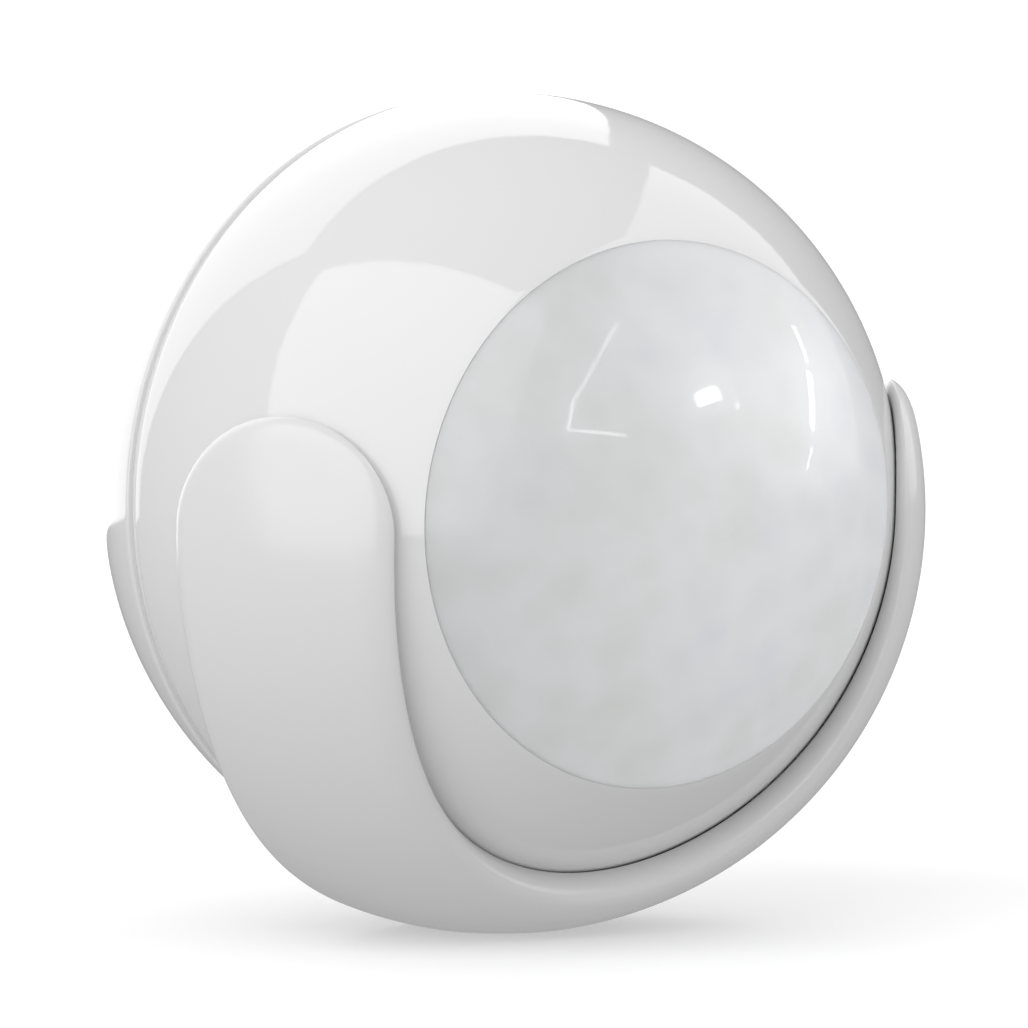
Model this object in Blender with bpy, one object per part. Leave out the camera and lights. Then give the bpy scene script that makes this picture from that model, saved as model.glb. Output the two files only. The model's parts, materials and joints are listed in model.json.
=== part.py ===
"""Ball-shaped infrared motion sensor held in a saddle cradle.

The lens looks along -Y, +X is to the right and +Z is up.  The origin is the
middle of the flat fixing face under the cradle.  Pieces inside the ball are
modelled in the ball's own frame: x to the right, y up and z forward along
the lens axis, from the ball's centre.
"""
import math

import bmesh
import bpy
from mathutils import Matrix, Vector

MM = 0.001

# ---- fits -------------------------------------------------------------------
FIT_GAP = 0.3 * MM            # between neighbours that touch on the real object
SOCKET_GAP = 0.35 * MM        # between the ball and the cradle
SCREW_CLEARANCE = 0.3 * MM    # around a screw shank

# ---- ball -------------------------------------------------------------------
BALL_RADIUS = 25.0 * MM
SHELL_WALL = 1.6 * MM
SEAM_SETBACK = 3.75 * MM      # front edge of the seam groove, behind the centre
SEAM_WIDTH = 1.2 * MM
LIP_LENGTH = 3.0 * MM         # how far the cover's lip reaches into the front shell
LIP_WALL = 1.2 * MM

# ---- lens -------------------------------------------------------------------
LENS_OPENING_RADIUS = 17.15 * MM
LENS_WALL = 0.8 * MM
OPENING_WALL = 0.8 * MM       # thinned shell in front of the lens flange
FLANGE_WIDTH = 2.2 * MM
RING_SKIRT = 1.4 * MM         # part of the retaining ring beyond the flange
RING_WALL = 1.4 * MM

# ---- cradle -----------------------------------------------------------------
ARM_WALL = 1.31 * MM
FOOT_EXTRA = 1.17 * MM        # how far the outer sphere sits below the ball's centre
ARM_HALF_WIDTH = 7.25 * MM
TIP_FORWARD = 10.35 * MM      # centre of the rounded arm tip, in front of the ball's centre
TIP_DROP = 0.55 * MM          # and below it
FRONT_EDGE_RADIUS = 47.0 * MM
REAR_SWEEP = 6.0 * MM         # how far the rear edge has swept back after REAR_SWEEP_DROP
REAR_SWEEP_DROP = 21.7 * MM
REAR_SWEEP_POWER = 2.56
REAR_SWEEP_START = 1.45 * MM  # drop below the tip centre where the sweep begins
BASE_RADIUS = 4.5 * MM        # flat fixing face
PAD_RADIUS = 3.0 * MM
PAD_THICKNESS = 0.5 * MM

# ---- cell and its contacts --------------------------------------------------
CELL_RADIUS = 8.5 * MM
CELL_BODY_LENGTH = 33.5 * MM
NUB_LENGTH = 1.0 * MM
NUB_RADIUS = 3.2 * MM
CELL_EDGE = 0.5 * MM
CELL_CLEARANCE = 0.5 * MM     # between the cell and its saddle, grooves the floor a little
SPRING_LENGTH = 2.0 * MM
SPRING_WIRE = 0.5 * MM
SPRING_TURNS = 2.5
SPRING_SMALL_RADIUS = 2.2 * MM
SPRING_LARGE_RADIUS = 4.0 * MM
BLADE_THICKNESS = 0.4 * MM
BLADE_HALF_WIDTH = 4.2 * MM
BLADE_DEPTH = 11.0 * MM
TAIL_HALF_WIDTH = 1.0 * MM
TAIL_STAND = 0.6 * MM         # solder tail above the board

# ---- chassis ----------------------------------------------------------------
FLOOR_THICKNESS = 1.2 * MM
END_WALL = 1.2 * MM
END_WALL_HALF_WIDTH = 5.0 * MM
SADDLE_WIDTH = 1.4 * MM
SADDLE_SPREAD = 9.0 * MM
SADDLE_DEPTH = 5.5 * MM
SADDLE_SHOULDER = 1.4 * MM

# ---- board and screws -------------------------------------------------------
BOARD_THICKNESS = 1.6 * MM
BOARD_EDGE_GAP = 1.2 * MM
POST_RADIUS = 1.9 * MM
POST_INSET = 2.8 * MM         # from the board's edge to the screw circle
POST_EMBED = 1.1 * MM         # how far a post runs on into the shell's wall
SCREW_RADIUS = 0.9 * MM
SCREW_LENGTH = 7.5 * MM
SCREW_HEAD_RADIUS = 1.8 * MM
SCREW_HEAD_HEIGHT = 1.3 * MM
SCREW_ANGLES = (90, 210, 330)

# ---- parts on the board -----------------------------------------------------
SPACER_RADIUS = 4.9 * MM
SPACER_HEIGHT = 1.5 * MM
CAN_RADIUS = 4.55 * MM
CAN_HEIGHT = 4.2 * MM
CAN_FLANGE = 0.4 * MM
WINDOW_SIZE = (4.4 * MM, 3.4 * MM)
WINDOW_THICKNESS = 0.4 * MM
ANTENNA_WIRE = 0.8 * MM
ANTENNA_HEIGHT = 1.6 * MM
ANTENNA_INSET = 3.4 * MM
ANTENNA_ARC = (12, 72)

# ---- program switch ---------------------------------------------------------
SWITCH_DROP = 14.8 * MM       # below the lens axis
SWITCH_SIZE = 6.0 * MM
SWITCH_HEIGHT = 3.4 * MM
STEM_RADIUS = 1.5 * MM
STEM_STAND = 3.5 * MM         # cap above the switch body
STEM_REACH = 1.0 * MM         # stem inside the switch body
PRESS_TRAVEL = 0.4 * MM

SEGMENTS = 48
ARC_STEP = math.radians(7.5)
CUT_MARGIN = 1.0 * MM         # how far a cutter runs past what it cuts


# ---- worked-out sizes -------------------------------------------------------
def chord(radius, offset):
    """Half-width of a circle of the given radius at an offset from its centre."""
    return math.sqrt(radius ** 2 - offset ** 2)


INNER_RADIUS = BALL_RADIUS - SHELL_WALL
SOCKET_RADIUS = BALL_RADIUS + SOCKET_GAP
CRADLE_RADIUS = SOCKET_RADIUS + ARM_WALL
BALL_HEIGHT = FOOT_EXTRA + chord(CRADLE_RADIUS, BASE_RADIUS)

BAY_HALF = (CELL_BODY_LENGTH + NUB_LENGTH + SPRING_LENGTH + 3 * FIT_GAP) / 2
CELL_RIGHT = BAY_HALF - FIT_GAP - NUB_LENGTH
CELL_LEFT = CELL_RIGHT - CELL_BODY_LENGTH
CELL_REACH = chord(INNER_RADIUS - FIT_GAP, CELL_RIGHT)    # room for the cell's ends at the back

LIP_FRONT = LIP_LENGTH - SEAM_SETBACK
LIP_OUTER = chord(INNER_RADIUS, SEAM_SETBACK) - FIT_GAP
LIP_INNER = LIP_OUTER - LIP_WALL
FLOOR_REAR = max(2 * CELL_RADIUS - CELL_REACH, LIP_FRONT) + FIT_GAP
CELL_Z = FLOOR_REAR - FIT_GAP - CELL_RADIUS
END_WALL_NEAR = BAY_HALF + BLADE_THICKNESS + FIT_GAP
END_WALL_FAR = END_WALL_NEAR + END_WALL
END_WALL_SIDE = min(END_WALL_HALF_WIDTH, chord(LIP_INNER - FIT_GAP, END_WALL_FAR))
END_WALL_CORNER = math.hypot(END_WALL_FAR, END_WALL_SIDE)
END_WALL_DEPTH = min(BLADE_DEPTH, FLOOR_REAR + chord(INNER_RADIUS - FIT_GAP, END_WALL_CORNER))
FLOOR_FRONT = FLOOR_REAR + FLOOR_THICKNESS
BOARD_REAR = FLOOR_FRONT + FIT_GAP
BOARD_FRONT = BOARD_REAR + BOARD_THICKNESS
PARTS_Z = BOARD_FRONT + FIT_GAP
FLOOR_RADIUS = chord(INNER_RADIUS, FLOOR_FRONT) - 2 * FIT_GAP
BOARD_RADIUS = chord(INNER_RADIUS, BOARD_FRONT) - BOARD_EDGE_GAP
SCREW_CIRCLE = BOARD_RADIUS - POST_INSET

OPENING_ANGLE = math.asin(LENS_OPENING_RADIUS / BALL_RADIUS)
SEAT_RADIUS = BALL_RADIUS - OPENING_WALL
SEAT_ANGLE = OPENING_ANGLE + FLANGE_WIDTH / SEAT_RADIUS
FLANGE_FRONT = SEAT_RADIUS - FIT_GAP
FLANGE_BACK = FLANGE_FRONT - LENS_WALL
GAP_ANGLE = FIT_GAP / INNER_RADIUS


# ---- scene and materials ----------------------------------------------------
def clear_scene():
    """Remove whatever objects the scene holds."""
    for obj in list(bpy.data.objects):
        bpy.data.objects.remove(obj, do_unlink=True)


def make_material(name, colour, roughness, metallic=0.0, transmission=0.0):
    """A plain Principled material."""
    material = bpy.data.materials.new(name)
    material.use_nodes = True
    shader = material.node_tree.nodes["Principled BSDF"]
    shader.inputs["Base Color"].default_value = (*colour, 1.0)
    shader.inputs["Roughness"].default_value = roughness
    shader.inputs["Metallic"].default_value = metallic
    shader.inputs["Transmission Weight"].default_value = transmission
    return material


def add_object(name, mesh_data, material, parent=None, location=(0, 0, 0)):
    """Put a mesh or curve into the scene as a named piece."""
    obj = bpy.data.objects.new(name, mesh_data)
    bpy.context.scene.collection.objects.link(obj)
    if material is not None:
        mesh_data.materials.append(material)
    obj.parent = parent
    obj.location = location
    return obj


def add_empty(name, parent=None, location=(0, 0, 0), rotation=(0, 0, 0)):
    """A pivot that pieces hang from."""
    obj = bpy.data.objects.new(name, None)
    bpy.context.scene.collection.objects.link(obj)
    obj.parent = parent
    obj.location = location
    obj.rotation_euler = rotation
    return obj


def finish_mesh(name, bm, sharp_deg=35):
    """Turn a bmesh into a smooth-shaded mesh with sharp edges kept."""
    bmesh.ops.remove_doubles(bm, verts=bm.verts, dist=1e-7)
    bmesh.ops.recalc_face_normals(bm, faces=bm.faces)
    mesh = bpy.data.meshes.new(name)
    bm.to_mesh(mesh)
    bm.free()
    mesh.shade_smooth()
    mesh.set_sharp_from_angle(angle=math.radians(sharp_deg))
    return mesh


def boolean(target, tool, operation):
    """Cut or join a hidden helper into a piece."""
    tool.hide_render = True
    tool.display_type = 'WIRE'
    modifier = target.modifiers.new(tool.name, 'BOOLEAN')
    modifier.operation = operation
    modifier.solver = 'EXACT'
    modifier.object = tool


# ---- shapes -----------------------------------------------------------------
def arc(radius, start, end):
    """Points (distance from the axis, forward) on a sphere, by angle from the axis."""
    count = max(2, math.ceil(abs(end - start) / ARC_STEP))
    angles = [start + (end - start) * i / count for i in range(count + 1)]
    return [(radius * math.sin(a), radius * math.cos(a)) for a in angles]


def revolve(name, profile, closed=True, segments=SEGMENTS):
    """Turn a profile of (distance from the axis, forward) round the z axis."""
    bm = bmesh.new()
    verts = [bm.verts.new((max(r, 0.0), 0, z)) for r, z in profile]
    edges = [bm.edges.new(pair) for pair in zip(verts, verts[1:])]
    if closed:
        edges.append(bm.edges.new((verts[-1], verts[0])))
    bmesh.ops.spin(bm, geom=verts + edges, cent=(0, 0, 0), axis=(0, 0, 1),
                   angle=2 * math.pi, steps=segments, use_merge=True)
    bmesh.ops.remove_doubles(bm, verts=bm.verts, dist=1e-7)
    bmesh.ops.dissolve_degenerate(bm, edges=bm.edges, dist=1e-8)
    return finish_mesh(name, bm)


def box(name, low, high, edge=0.0):
    """A block between two corners, with its edges cut off by the given width."""
    bm = bmesh.new()
    bmesh.ops.create_cube(bm, size=1.0)
    size = Vector(high) - Vector(low)
    bmesh.ops.scale(bm, vec=size, verts=bm.verts)
    bmesh.ops.translate(bm, vec=(Vector(high) + Vector(low)) / 2, verts=bm.verts)
    if edge:
        bmesh.ops.bevel(bm, geom=bm.edges[:], offset=edge, segments=1,
                        profile=0.5, affect='EDGES')
    return finish_mesh(name, bm)


def rod(name, radius, start, end, segments=16):
    """A plain round bar between two points."""
    start, end = Vector(start), Vector(end)
    bm = bmesh.new()
    bmesh.ops.create_cone(bm, cap_ends=True, segments=segments, radius1=radius,
                          radius2=radius, depth=(end - start).length)
    turn = Vector((0, 0, 1)).rotation_difference(end - start).to_matrix().to_4x4()
    bmesh.ops.transform(bm, matrix=Matrix.Translation((start + end) / 2) @ turn, verts=bm.verts)
    return finish_mesh(name, bm)


def wire(name, points, radius):
    """A round wire through points, with filled ends."""
    curve = bpy.data.curves.new(name, 'CURVE')
    curve.dimensions = '3D'
    curve.bevel_depth = radius
    curve.bevel_resolution = 1
    curve.use_fill_caps = True
    spline = curve.splines.new('POLY')
    spline.points.add(len(points) - 1)
    for point, place in zip(spline.points, points):
        point.co = (*place, 1.0)
    return curve


def polar(radius, degrees):
    """A point on a circle round the lens axis."""
    angle = math.radians(degrees)
    return radius * math.cos(angle), radius * math.sin(angle)


# ---- cradle -----------------------------------------------------------------
def front_edge(height):
    """Forward distance of the cradle's front edge, seen from the side."""
    drop = min(height + TIP_DROP, 0.0)
    middle = TIP_FORWARD + ARM_HALF_WIDTH - FRONT_EDGE_RADIUS
    return middle + chord(FRONT_EDGE_RADIUS, drop)


def rear_edge(height):
    """Forward distance of the cradle's rear edge, seen from the side."""
    drop = max(-height - TIP_DROP - REAR_SWEEP_START, 0.0)
    sweep = REAR_SWEEP * (drop / REAR_SWEEP_DROP) ** REAR_SWEEP_POWER
    return TIP_FORWARD - ARM_HALF_WIDTH - sweep


def band_point(radius, drop, share, across):
    """A point on the strap: share runs from 0 underneath to 1 at the arm's tip circle."""
    forward = TIP_FORWARD
    angle = 0.0
    for _ in range(30):
        reach = chord(radius, forward)
        angle = share * math.acos((TIP_DROP - drop) / reach)
        height = -drop - reach * math.cos(angle)
        rear, front = rear_edge(height), front_edge(height)
        forward = (rear + front) / 2 + across * (front - rear) / 2
    reach = chord(radius, forward)
    return Vector((reach * math.sin(angle), -forward, -drop - reach * math.cos(angle)))


def tip_point(radius, drop, rise, across):
    """A point on the rounded arm end: rise runs from 0 at the tip circle to 1 at the top."""
    forward = TIP_FORWARD + ARM_HALF_WIDTH * across * math.sqrt(1 - rise ** 2 / 2)
    height = -TIP_DROP + ARM_HALF_WIDTH * rise * math.sqrt(1 - across ** 2 / 2)
    side = math.sqrt(radius ** 2 - forward ** 2 - (height + drop) ** 2)
    return Vector((side, -forward, height))


def cradle_skin(bm, radius, drop, rows, tip_rows, columns):
    """One face of the strap as a grid of quads; returns its faces."""
    total = 2 * (rows + tip_rows)
    made = bmesh.ops.create_grid(bm, x_segments=total, y_segments=columns, size=1.0)
    for vert in made["verts"]:
        along = abs(vert.co.x) * (rows + tip_rows)
        across = vert.co.y
        side = 1 if vert.co.x > 0 else -1
        if along <= rows + 1e-6:
            place = band_point(radius, drop, along / rows, across)
        else:
            place = tip_point(radius, drop, (along - rows) / tip_rows, across)
        vert.co = (side * place.x, place.y, place.z)
    return {face for vert in made["verts"] for face in vert.link_faces}


def make_cradle(material):
    """The saddle: outer and socket skins joined round their edge, with a flat fixing face."""
    bm = bmesh.new()
    rows, tip_rows, columns = 12, 3, 6
    cradle_skin(bm, CRADLE_RADIUS, FOOT_EXTRA, rows, tip_rows, columns)
    cradle_skin(bm, SOCKET_RADIUS, 0.0, rows, tip_rows, columns)
    rim = [edge for edge in bm.edges if edge.is_boundary]
    bmesh.ops.bridge_loops(bm, edges=rim)
    base = bmesh.ops.bisect_plane(bm, geom=bm.verts[:] + bm.edges[:] + bm.faces[:],
                                  plane_co=(0, 0, -BALL_HEIGHT), plane_no=(0, 0, -1),
                                  clear_outer=True)
    cut = [item for item in base["geom_cut"] if isinstance(item, bmesh.types.BMEdge)]
    bmesh.ops.edgeloop_fill(bm, edges=cut)
    cradle = add_object("cradle", finish_mesh("cradle", bm), material,
                        location=(0, 0, BALL_HEIGHT))
    pocket_radius = PAD_RADIUS + FIT_GAP
    pocket = rod("pad_pocket", pocket_radius, (0, 0, -CUT_MARGIN),
                 (0, 0, PAD_THICKNESS + FIT_GAP), 24)
    boolean(cradle, add_object("pad_pocket", pocket, None), 'DIFFERENCE')


def make_adhesive_pad(material):
    """Foam disc that fills the pocket and ends level with the fixing face."""
    disc = rod("adhesive_pad", PAD_RADIUS, (0, 0, 0), (0, 0, PAD_THICKNESS), 24)
    add_object("adhesive_pad", disc, material)


# ---- ball -------------------------------------------------------------------
def make_front_shell(material, ball):
    """Front of the ball, with the lens opening, its seat and three screw posts."""
    outer_seam = math.acos(-SEAM_SETBACK / BALL_RADIUS)
    inner_seam = math.acos(-SEAM_SETBACK / INNER_RADIUS)
    profile = arc(BALL_RADIUS, OPENING_ANGLE, outer_seam)
    profile += arc(INNER_RADIUS, inner_seam, SEAT_ANGLE)
    profile += arc(SEAT_RADIUS, SEAT_ANGLE, OPENING_ANGLE)
    shell = add_object("front_shell", revolve("front_shell", profile), material, ball)
    post_top = chord(INNER_RADIUS, SCREW_CIRCLE + POST_RADIUS) + POST_EMBED
    for index, degrees in enumerate(SCREW_ANGLES, start=1):
        x, y = polar(SCREW_CIRCLE, degrees)
        post = rod("post", POST_RADIUS, (x, y, BOARD_FRONT + FIT_GAP), (x, y, post_top))
        boolean(shell, add_object(f"post_{index}", post, None, ball), 'UNION')
        hole = rod("hole", SCREW_RADIUS + SCREW_CLEARANCE, (x, y, BOARD_FRONT),
                   (x, y, screw_end() + FIT_GAP), 12)
        boolean(shell, add_object(f"post_hole_{index}", hole, None, ball), 'DIFFERENCE')


def make_lens(material, ball):
    """Domed lens, flush with the ball, with a flange behind the opening's edge."""
    rim = math.asin((LENS_OPENING_RADIUS - FIT_GAP) / BALL_RADIUS)
    dome_inside = rim - LENS_WALL / BALL_RADIUS
    flange_end = SEAT_ANGLE - GAP_ANGLE
    profile = arc(BALL_RADIUS, 0, rim)
    profile += arc(FLANGE_FRONT, rim, flange_end)
    profile += arc(FLANGE_BACK, flange_end, dome_inside)
    profile += arc(BALL_RADIUS - LENS_WALL, dome_inside, 0)
    mesh = revolve("fresnel_lens", profile, closed=False)
    add_object("fresnel_lens", mesh, material, ball)


def make_lens_ring(material, ball):
    """Ring that holds the flange from behind and grips the shell's inside."""
    start = OPENING_ANGLE
    step = SEAT_ANGLE + GAP_ANGLE
    end = step + RING_SKIRT / INNER_RADIUS
    profile = arc(FLANGE_BACK - FIT_GAP, start, step)
    profile += arc(INNER_RADIUS - FIT_GAP, step, end)
    profile += arc(FLANGE_BACK - FIT_GAP - RING_WALL, end, start)
    add_object("lens_ring", revolve("lens_ring", profile), material, ball)


def make_rear_cover(material, cover):
    """Rear cap with a lip that slips into the front shell and two ribs on the cell."""
    rim_z = -(SEAM_SETBACK + SEAM_WIDTH)
    profile = arc(BALL_RADIUS, math.pi, math.acos(rim_z / BALL_RADIUS))
    profile += [(LIP_OUTER, rim_z), (LIP_OUTER, LIP_FRONT), (LIP_INNER, LIP_FRONT)]
    profile += arc(INNER_RADIUS, math.pi - math.asin(LIP_INNER / INNER_RADIUS), math.pi)
    shell = add_object("rear_cover", revolve("rear_cover", profile, closed=False),
                       material, cover)
    rib_half, rib_reach, rib_embed = 0.7 * MM, 4.5 * MM, 0.5 * MM
    cell_rear = CELL_Z - CELL_RADIUS - FIT_GAP
    for index, side in enumerate((-1, 1), start=1):
        x = side * SADDLE_SPREAD
        root = -chord(INNER_RADIUS, SADDLE_SPREAD) - rib_embed
        rib = box("rib", (x - rib_half, -rib_reach, root), (x + rib_half, rib_reach, cell_rear))
        boolean(shell, add_object(f"cover_rib_{index}", rib, None, cover), 'UNION')


# ---- chassis and cell -------------------------------------------------------
def make_chassis(material, ball):
    """Floor behind the board, with the cell's saddle ribs and contact walls."""
    floor = rod("chassis", FLOOR_RADIUS, (0, 0, FLOOR_REAR), (0, 0, FLOOR_FRONT), SEGMENTS)
    chassis = add_object("chassis", floor, material, ball)
    seat = FLOOR_REAR + FLOOR_THICKNESS / 2
    saddle_reach = CELL_RADIUS + CELL_CLEARANCE + SADDLE_SHOULDER
    for index, side in enumerate((-1, 1), start=1):
        x = side * SADDLE_SPREAD
        saddle = box("saddle", (x - SADDLE_WIDTH / 2, -saddle_reach, FLOOR_REAR - SADDLE_DEPTH),
                     (x + SADDLE_WIDTH / 2, saddle_reach, seat))
        boolean(chassis, add_object(f"saddle_{index}", saddle, None, ball), 'UNION')
        low, high = sorted((side * END_WALL_NEAR, side * END_WALL_FAR))
        wall = box("end_wall", (low, -END_WALL_SIDE, FLOOR_REAR - END_WALL_DEPTH),
                   (high, END_WALL_SIDE, seat))
        boolean(chassis, add_object(f"end_wall_{index}", wall, None, ball), 'UNION')
        boolean(chassis, tail_slot(f"floor_slot_{index}", side, ball), 'DIFFERENCE')
    room = rod("cell_room", CELL_RADIUS + CELL_CLEARANCE, (-BAY_HALF, 0, CELL_Z),
               (BAY_HALF, 0, CELL_Z), 32)
    boolean(chassis, add_object("cell_room", room, None, ball), 'DIFFERENCE')
    half = SWITCH_SIZE / 2 + FIT_GAP
    window = box("window", (-half, -SWITCH_DROP - half, FLOOR_REAR - CUT_MARGIN),
                 (half, -SWITCH_DROP + half, FLOOR_FRONT + CUT_MARGIN))
    boolean(chassis, add_object("switch_window", window, None, ball), 'DIFFERENCE')
    drill_screw_holes(chassis, ball)


def tail_slot(name, side, ball):
    """Cutter for a contact's solder tail, through the floor and the board."""
    near, far = BAY_HALF - FIT_GAP, END_WALL_NEAR
    low, high = sorted((side * near, side * far))
    half = TAIL_HALF_WIDTH + FIT_GAP
    slot = box(name, (low, -half, FLOOR_REAR - FIT_GAP / 2), (high, half, BOARD_FRONT + CUT_MARGIN))
    return add_object(name, slot, None, ball)


def screw_end():
    """Forward end of a board screw."""
    return FLOOR_REAR - FIT_GAP + SCREW_LENGTH


def drill_screw_holes(target, ball):
    """Holes for the three board screws, right through a plate."""
    for index, degrees in enumerate(SCREW_ANGLES, start=1):
        x, y = polar(SCREW_CIRCLE, degrees)
        hole = rod("hole", SCREW_RADIUS + SCREW_CLEARANCE, (x, y, FLOOR_REAR - CUT_MARGIN),
                   (x, y, BOARD_FRONT + CUT_MARGIN), 12)
        name = f"{target.name}_hole_{index}"
        boolean(target, add_object(name, hole, None, ball), 'DIFFERENCE')


def make_screws(material, ball):
    """Pan-head screws that hold the chassis and board to the front shell."""
    head_front = FLOOR_REAR - FIT_GAP
    profile = [(0, head_front - SCREW_HEAD_HEIGHT),
               (SCREW_HEAD_RADIUS * 0.7, head_front - SCREW_HEAD_HEIGHT),
               (SCREW_HEAD_RADIUS, head_front - SCREW_HEAD_HEIGHT * 0.6),
               (SCREW_HEAD_RADIUS, head_front),
               (SCREW_RADIUS, head_front),
               (SCREW_RADIUS, screw_end() - SCREW_RADIUS),
               (0, screw_end())]
    mesh = revolve("board_screw", profile, closed=False, segments=16)
    mesh.materials.append(material)
    for index, degrees in enumerate(SCREW_ANGLES, start=1):
        x, y = polar(SCREW_CIRCLE, degrees)
        add_object(f"board_screw_{index}", mesh, None, ball, (x, y, 0))


def make_cell(material, pivot):
    """Lithium cell lying across the ball, its positive nub to the right."""
    profile = [(0, CELL_LEFT), (CELL_RADIUS - CELL_EDGE, CELL_LEFT),
               (CELL_RADIUS, CELL_LEFT + CELL_EDGE), (CELL_RADIUS, CELL_RIGHT - CELL_EDGE),
               (CELL_RADIUS - CELL_EDGE, CELL_RIGHT), (NUB_RADIUS, CELL_RIGHT),
               (NUB_RADIUS, CELL_RIGHT + NUB_LENGTH), (0, CELL_RIGHT + NUB_LENGTH)]
    mesh = revolve("battery_cell", profile, closed=False, segments=32)
    cell = add_object("battery_cell", mesh, material, pivot)
    cell.rotation_euler = (0, math.pi / 2, 0)


def blade(name, side, material, ball):
    """Contact blade standing in front of an end wall, with its tail through the board."""
    inner = side * BAY_HALF
    outer = side * (BAY_HALF + BLADE_THICKNESS)
    top = FLOOR_REAR - FIT_GAP
    tail_top = BOARD_FRONT + TAIL_STAND
    outline = [(-BLADE_HALF_WIDTH, top - BLADE_DEPTH + FIT_GAP),
               (BLADE_HALF_WIDTH, top - BLADE_DEPTH + FIT_GAP),
               (BLADE_HALF_WIDTH, top), (TAIL_HALF_WIDTH, top), (TAIL_HALF_WIDTH, tail_top),
               (-TAIL_HALF_WIDTH, tail_top), (-TAIL_HALF_WIDTH, top), (-BLADE_HALF_WIDTH, top)]
    bm = bmesh.new()
    face = bm.faces.new([bm.verts.new((inner, y, z)) for y, z in outline])
    made = bmesh.ops.extrude_face_region(bm, geom=[face], use_keep_orig=True)
    moved = [item for item in made["geom"] if isinstance(item, bmesh.types.BMVert)]
    bmesh.ops.translate(bm, vec=(outer - inner, 0, 0), verts=moved)
    add_object(name, finish_mesh(name, bm), material, ball)


def make_spring(material, ball):
    """Conical spring between the negative blade and the cell's flat end."""
    start = -BAY_HALF + FIT_GAP + SPRING_WIRE / 2
    end = CELL_LEFT - FIT_GAP - SPRING_WIRE / 2
    steps = int(SPRING_TURNS * 12)
    points = []
    for i in range(steps + 1):
        share = i / steps
        angle = share * SPRING_TURNS * 2 * math.pi
        radius = SPRING_LARGE_RADIUS + share * (SPRING_SMALL_RADIUS - SPRING_LARGE_RADIUS)
        points.append((start + share * (end - start), radius * math.cos(angle),
                       CELL_Z + radius * math.sin(angle)))
    add_object("negative_spring", wire("negative_spring", points, SPRING_WIRE / 2),
               material, ball)


# ---- board and what it carries ----------------------------------------------
def make_board(material, ball):
    """Round circuit board with its screw holes and tail slots."""
    disc = rod("sensor_board", BOARD_RADIUS, (0, 0, BOARD_REAR), (0, 0, BOARD_FRONT), SEGMENTS)
    board = add_object("sensor_board", disc, material, ball)
    for index, side in enumerate((-1, 1), start=1):
        boolean(board, tail_slot(f"board_slot_{index}", side, ball), 'DIFFERENCE')
    drill_screw_holes(board, ball)


def make_detector(plastic, metal, glass, ball):
    """Infrared detector: spacer, can and filter window on the lens axis."""
    spacer_top = PARTS_Z + SPACER_HEIGHT
    spacer = rod("pir_spacer", SPACER_RADIUS, (0, 0, PARTS_Z), (0, 0, spacer_top), 24)
    add_object("pir_spacer", spacer, plastic, ball)
    base = spacer_top + FIT_GAP
    top = base + CAN_HEIGHT
    soft = 0.4 * MM
    profile = [(0, base), (SPACER_RADIUS, base), (SPACER_RADIUS, base + CAN_FLANGE),
               (CAN_RADIUS, base + CAN_FLANGE), (CAN_RADIUS, top - soft),
               (CAN_RADIUS - soft, top), (0, top)]
    can = add_object("pir_sensor", revolve("pir_sensor", profile, closed=False, segments=24),
                     metal, ball)
    half_x, half_y = WINDOW_SIZE[0] / 2, WINDOW_SIZE[1] / 2
    seat = top - WINDOW_THICKNESS - FIT_GAP
    pocket = box("window_pocket", (-half_x - FIT_GAP, -half_y - FIT_GAP, seat),
                 (half_x + FIT_GAP, half_y + FIT_GAP, top + CUT_MARGIN))
    boolean(can, add_object("window_pocket", pocket, None, ball), 'DIFFERENCE')
    window = box("pir_window", (-half_x, -half_y, top - WINDOW_THICKNESS), (half_x, half_y, top))
    add_object("pir_window", window, glass, ball)


def chip(name, centre, size, material, ball, edge=0.1 * MM):
    """A low block on the front of the board: centre (x, y), size (x, y, height)."""
    x, y = centre
    low = (x - size[0] / 2, y - size[1] / 2, PARTS_Z)
    high = (x + size[0] / 2, y + size[1] / 2, PARTS_Z + size[2])
    add_object(name, box(name, low, high, edge), material, ball)


def make_round_part(name, centre, profile, material, ball):
    """A turned part standing on the board."""
    mesh = revolve(name, profile, closed=False, segments=16)
    add_object(name, mesh, material, ball, (centre[0], centre[1], PARTS_Z))


def make_antenna(material, ball):
    """Bent wire antenna along the board's edge, with its foot on the board."""
    radius = BOARD_RADIUS - ANTENNA_INSET
    height = PARTS_Z + ANTENNA_HEIGHT
    first, last = ANTENNA_ARC
    foot = polar(radius, first)
    points = [(*foot, PARTS_Z), (*foot, height - ANTENNA_WIRE)]
    steps = 12
    for i in range(1, steps + 1):
        points.append((*polar(radius, first + (last - first) * i / steps), height))
    add_object("antenna", wire("antenna", points, ANTENNA_WIRE / 2), material, ball)


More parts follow.
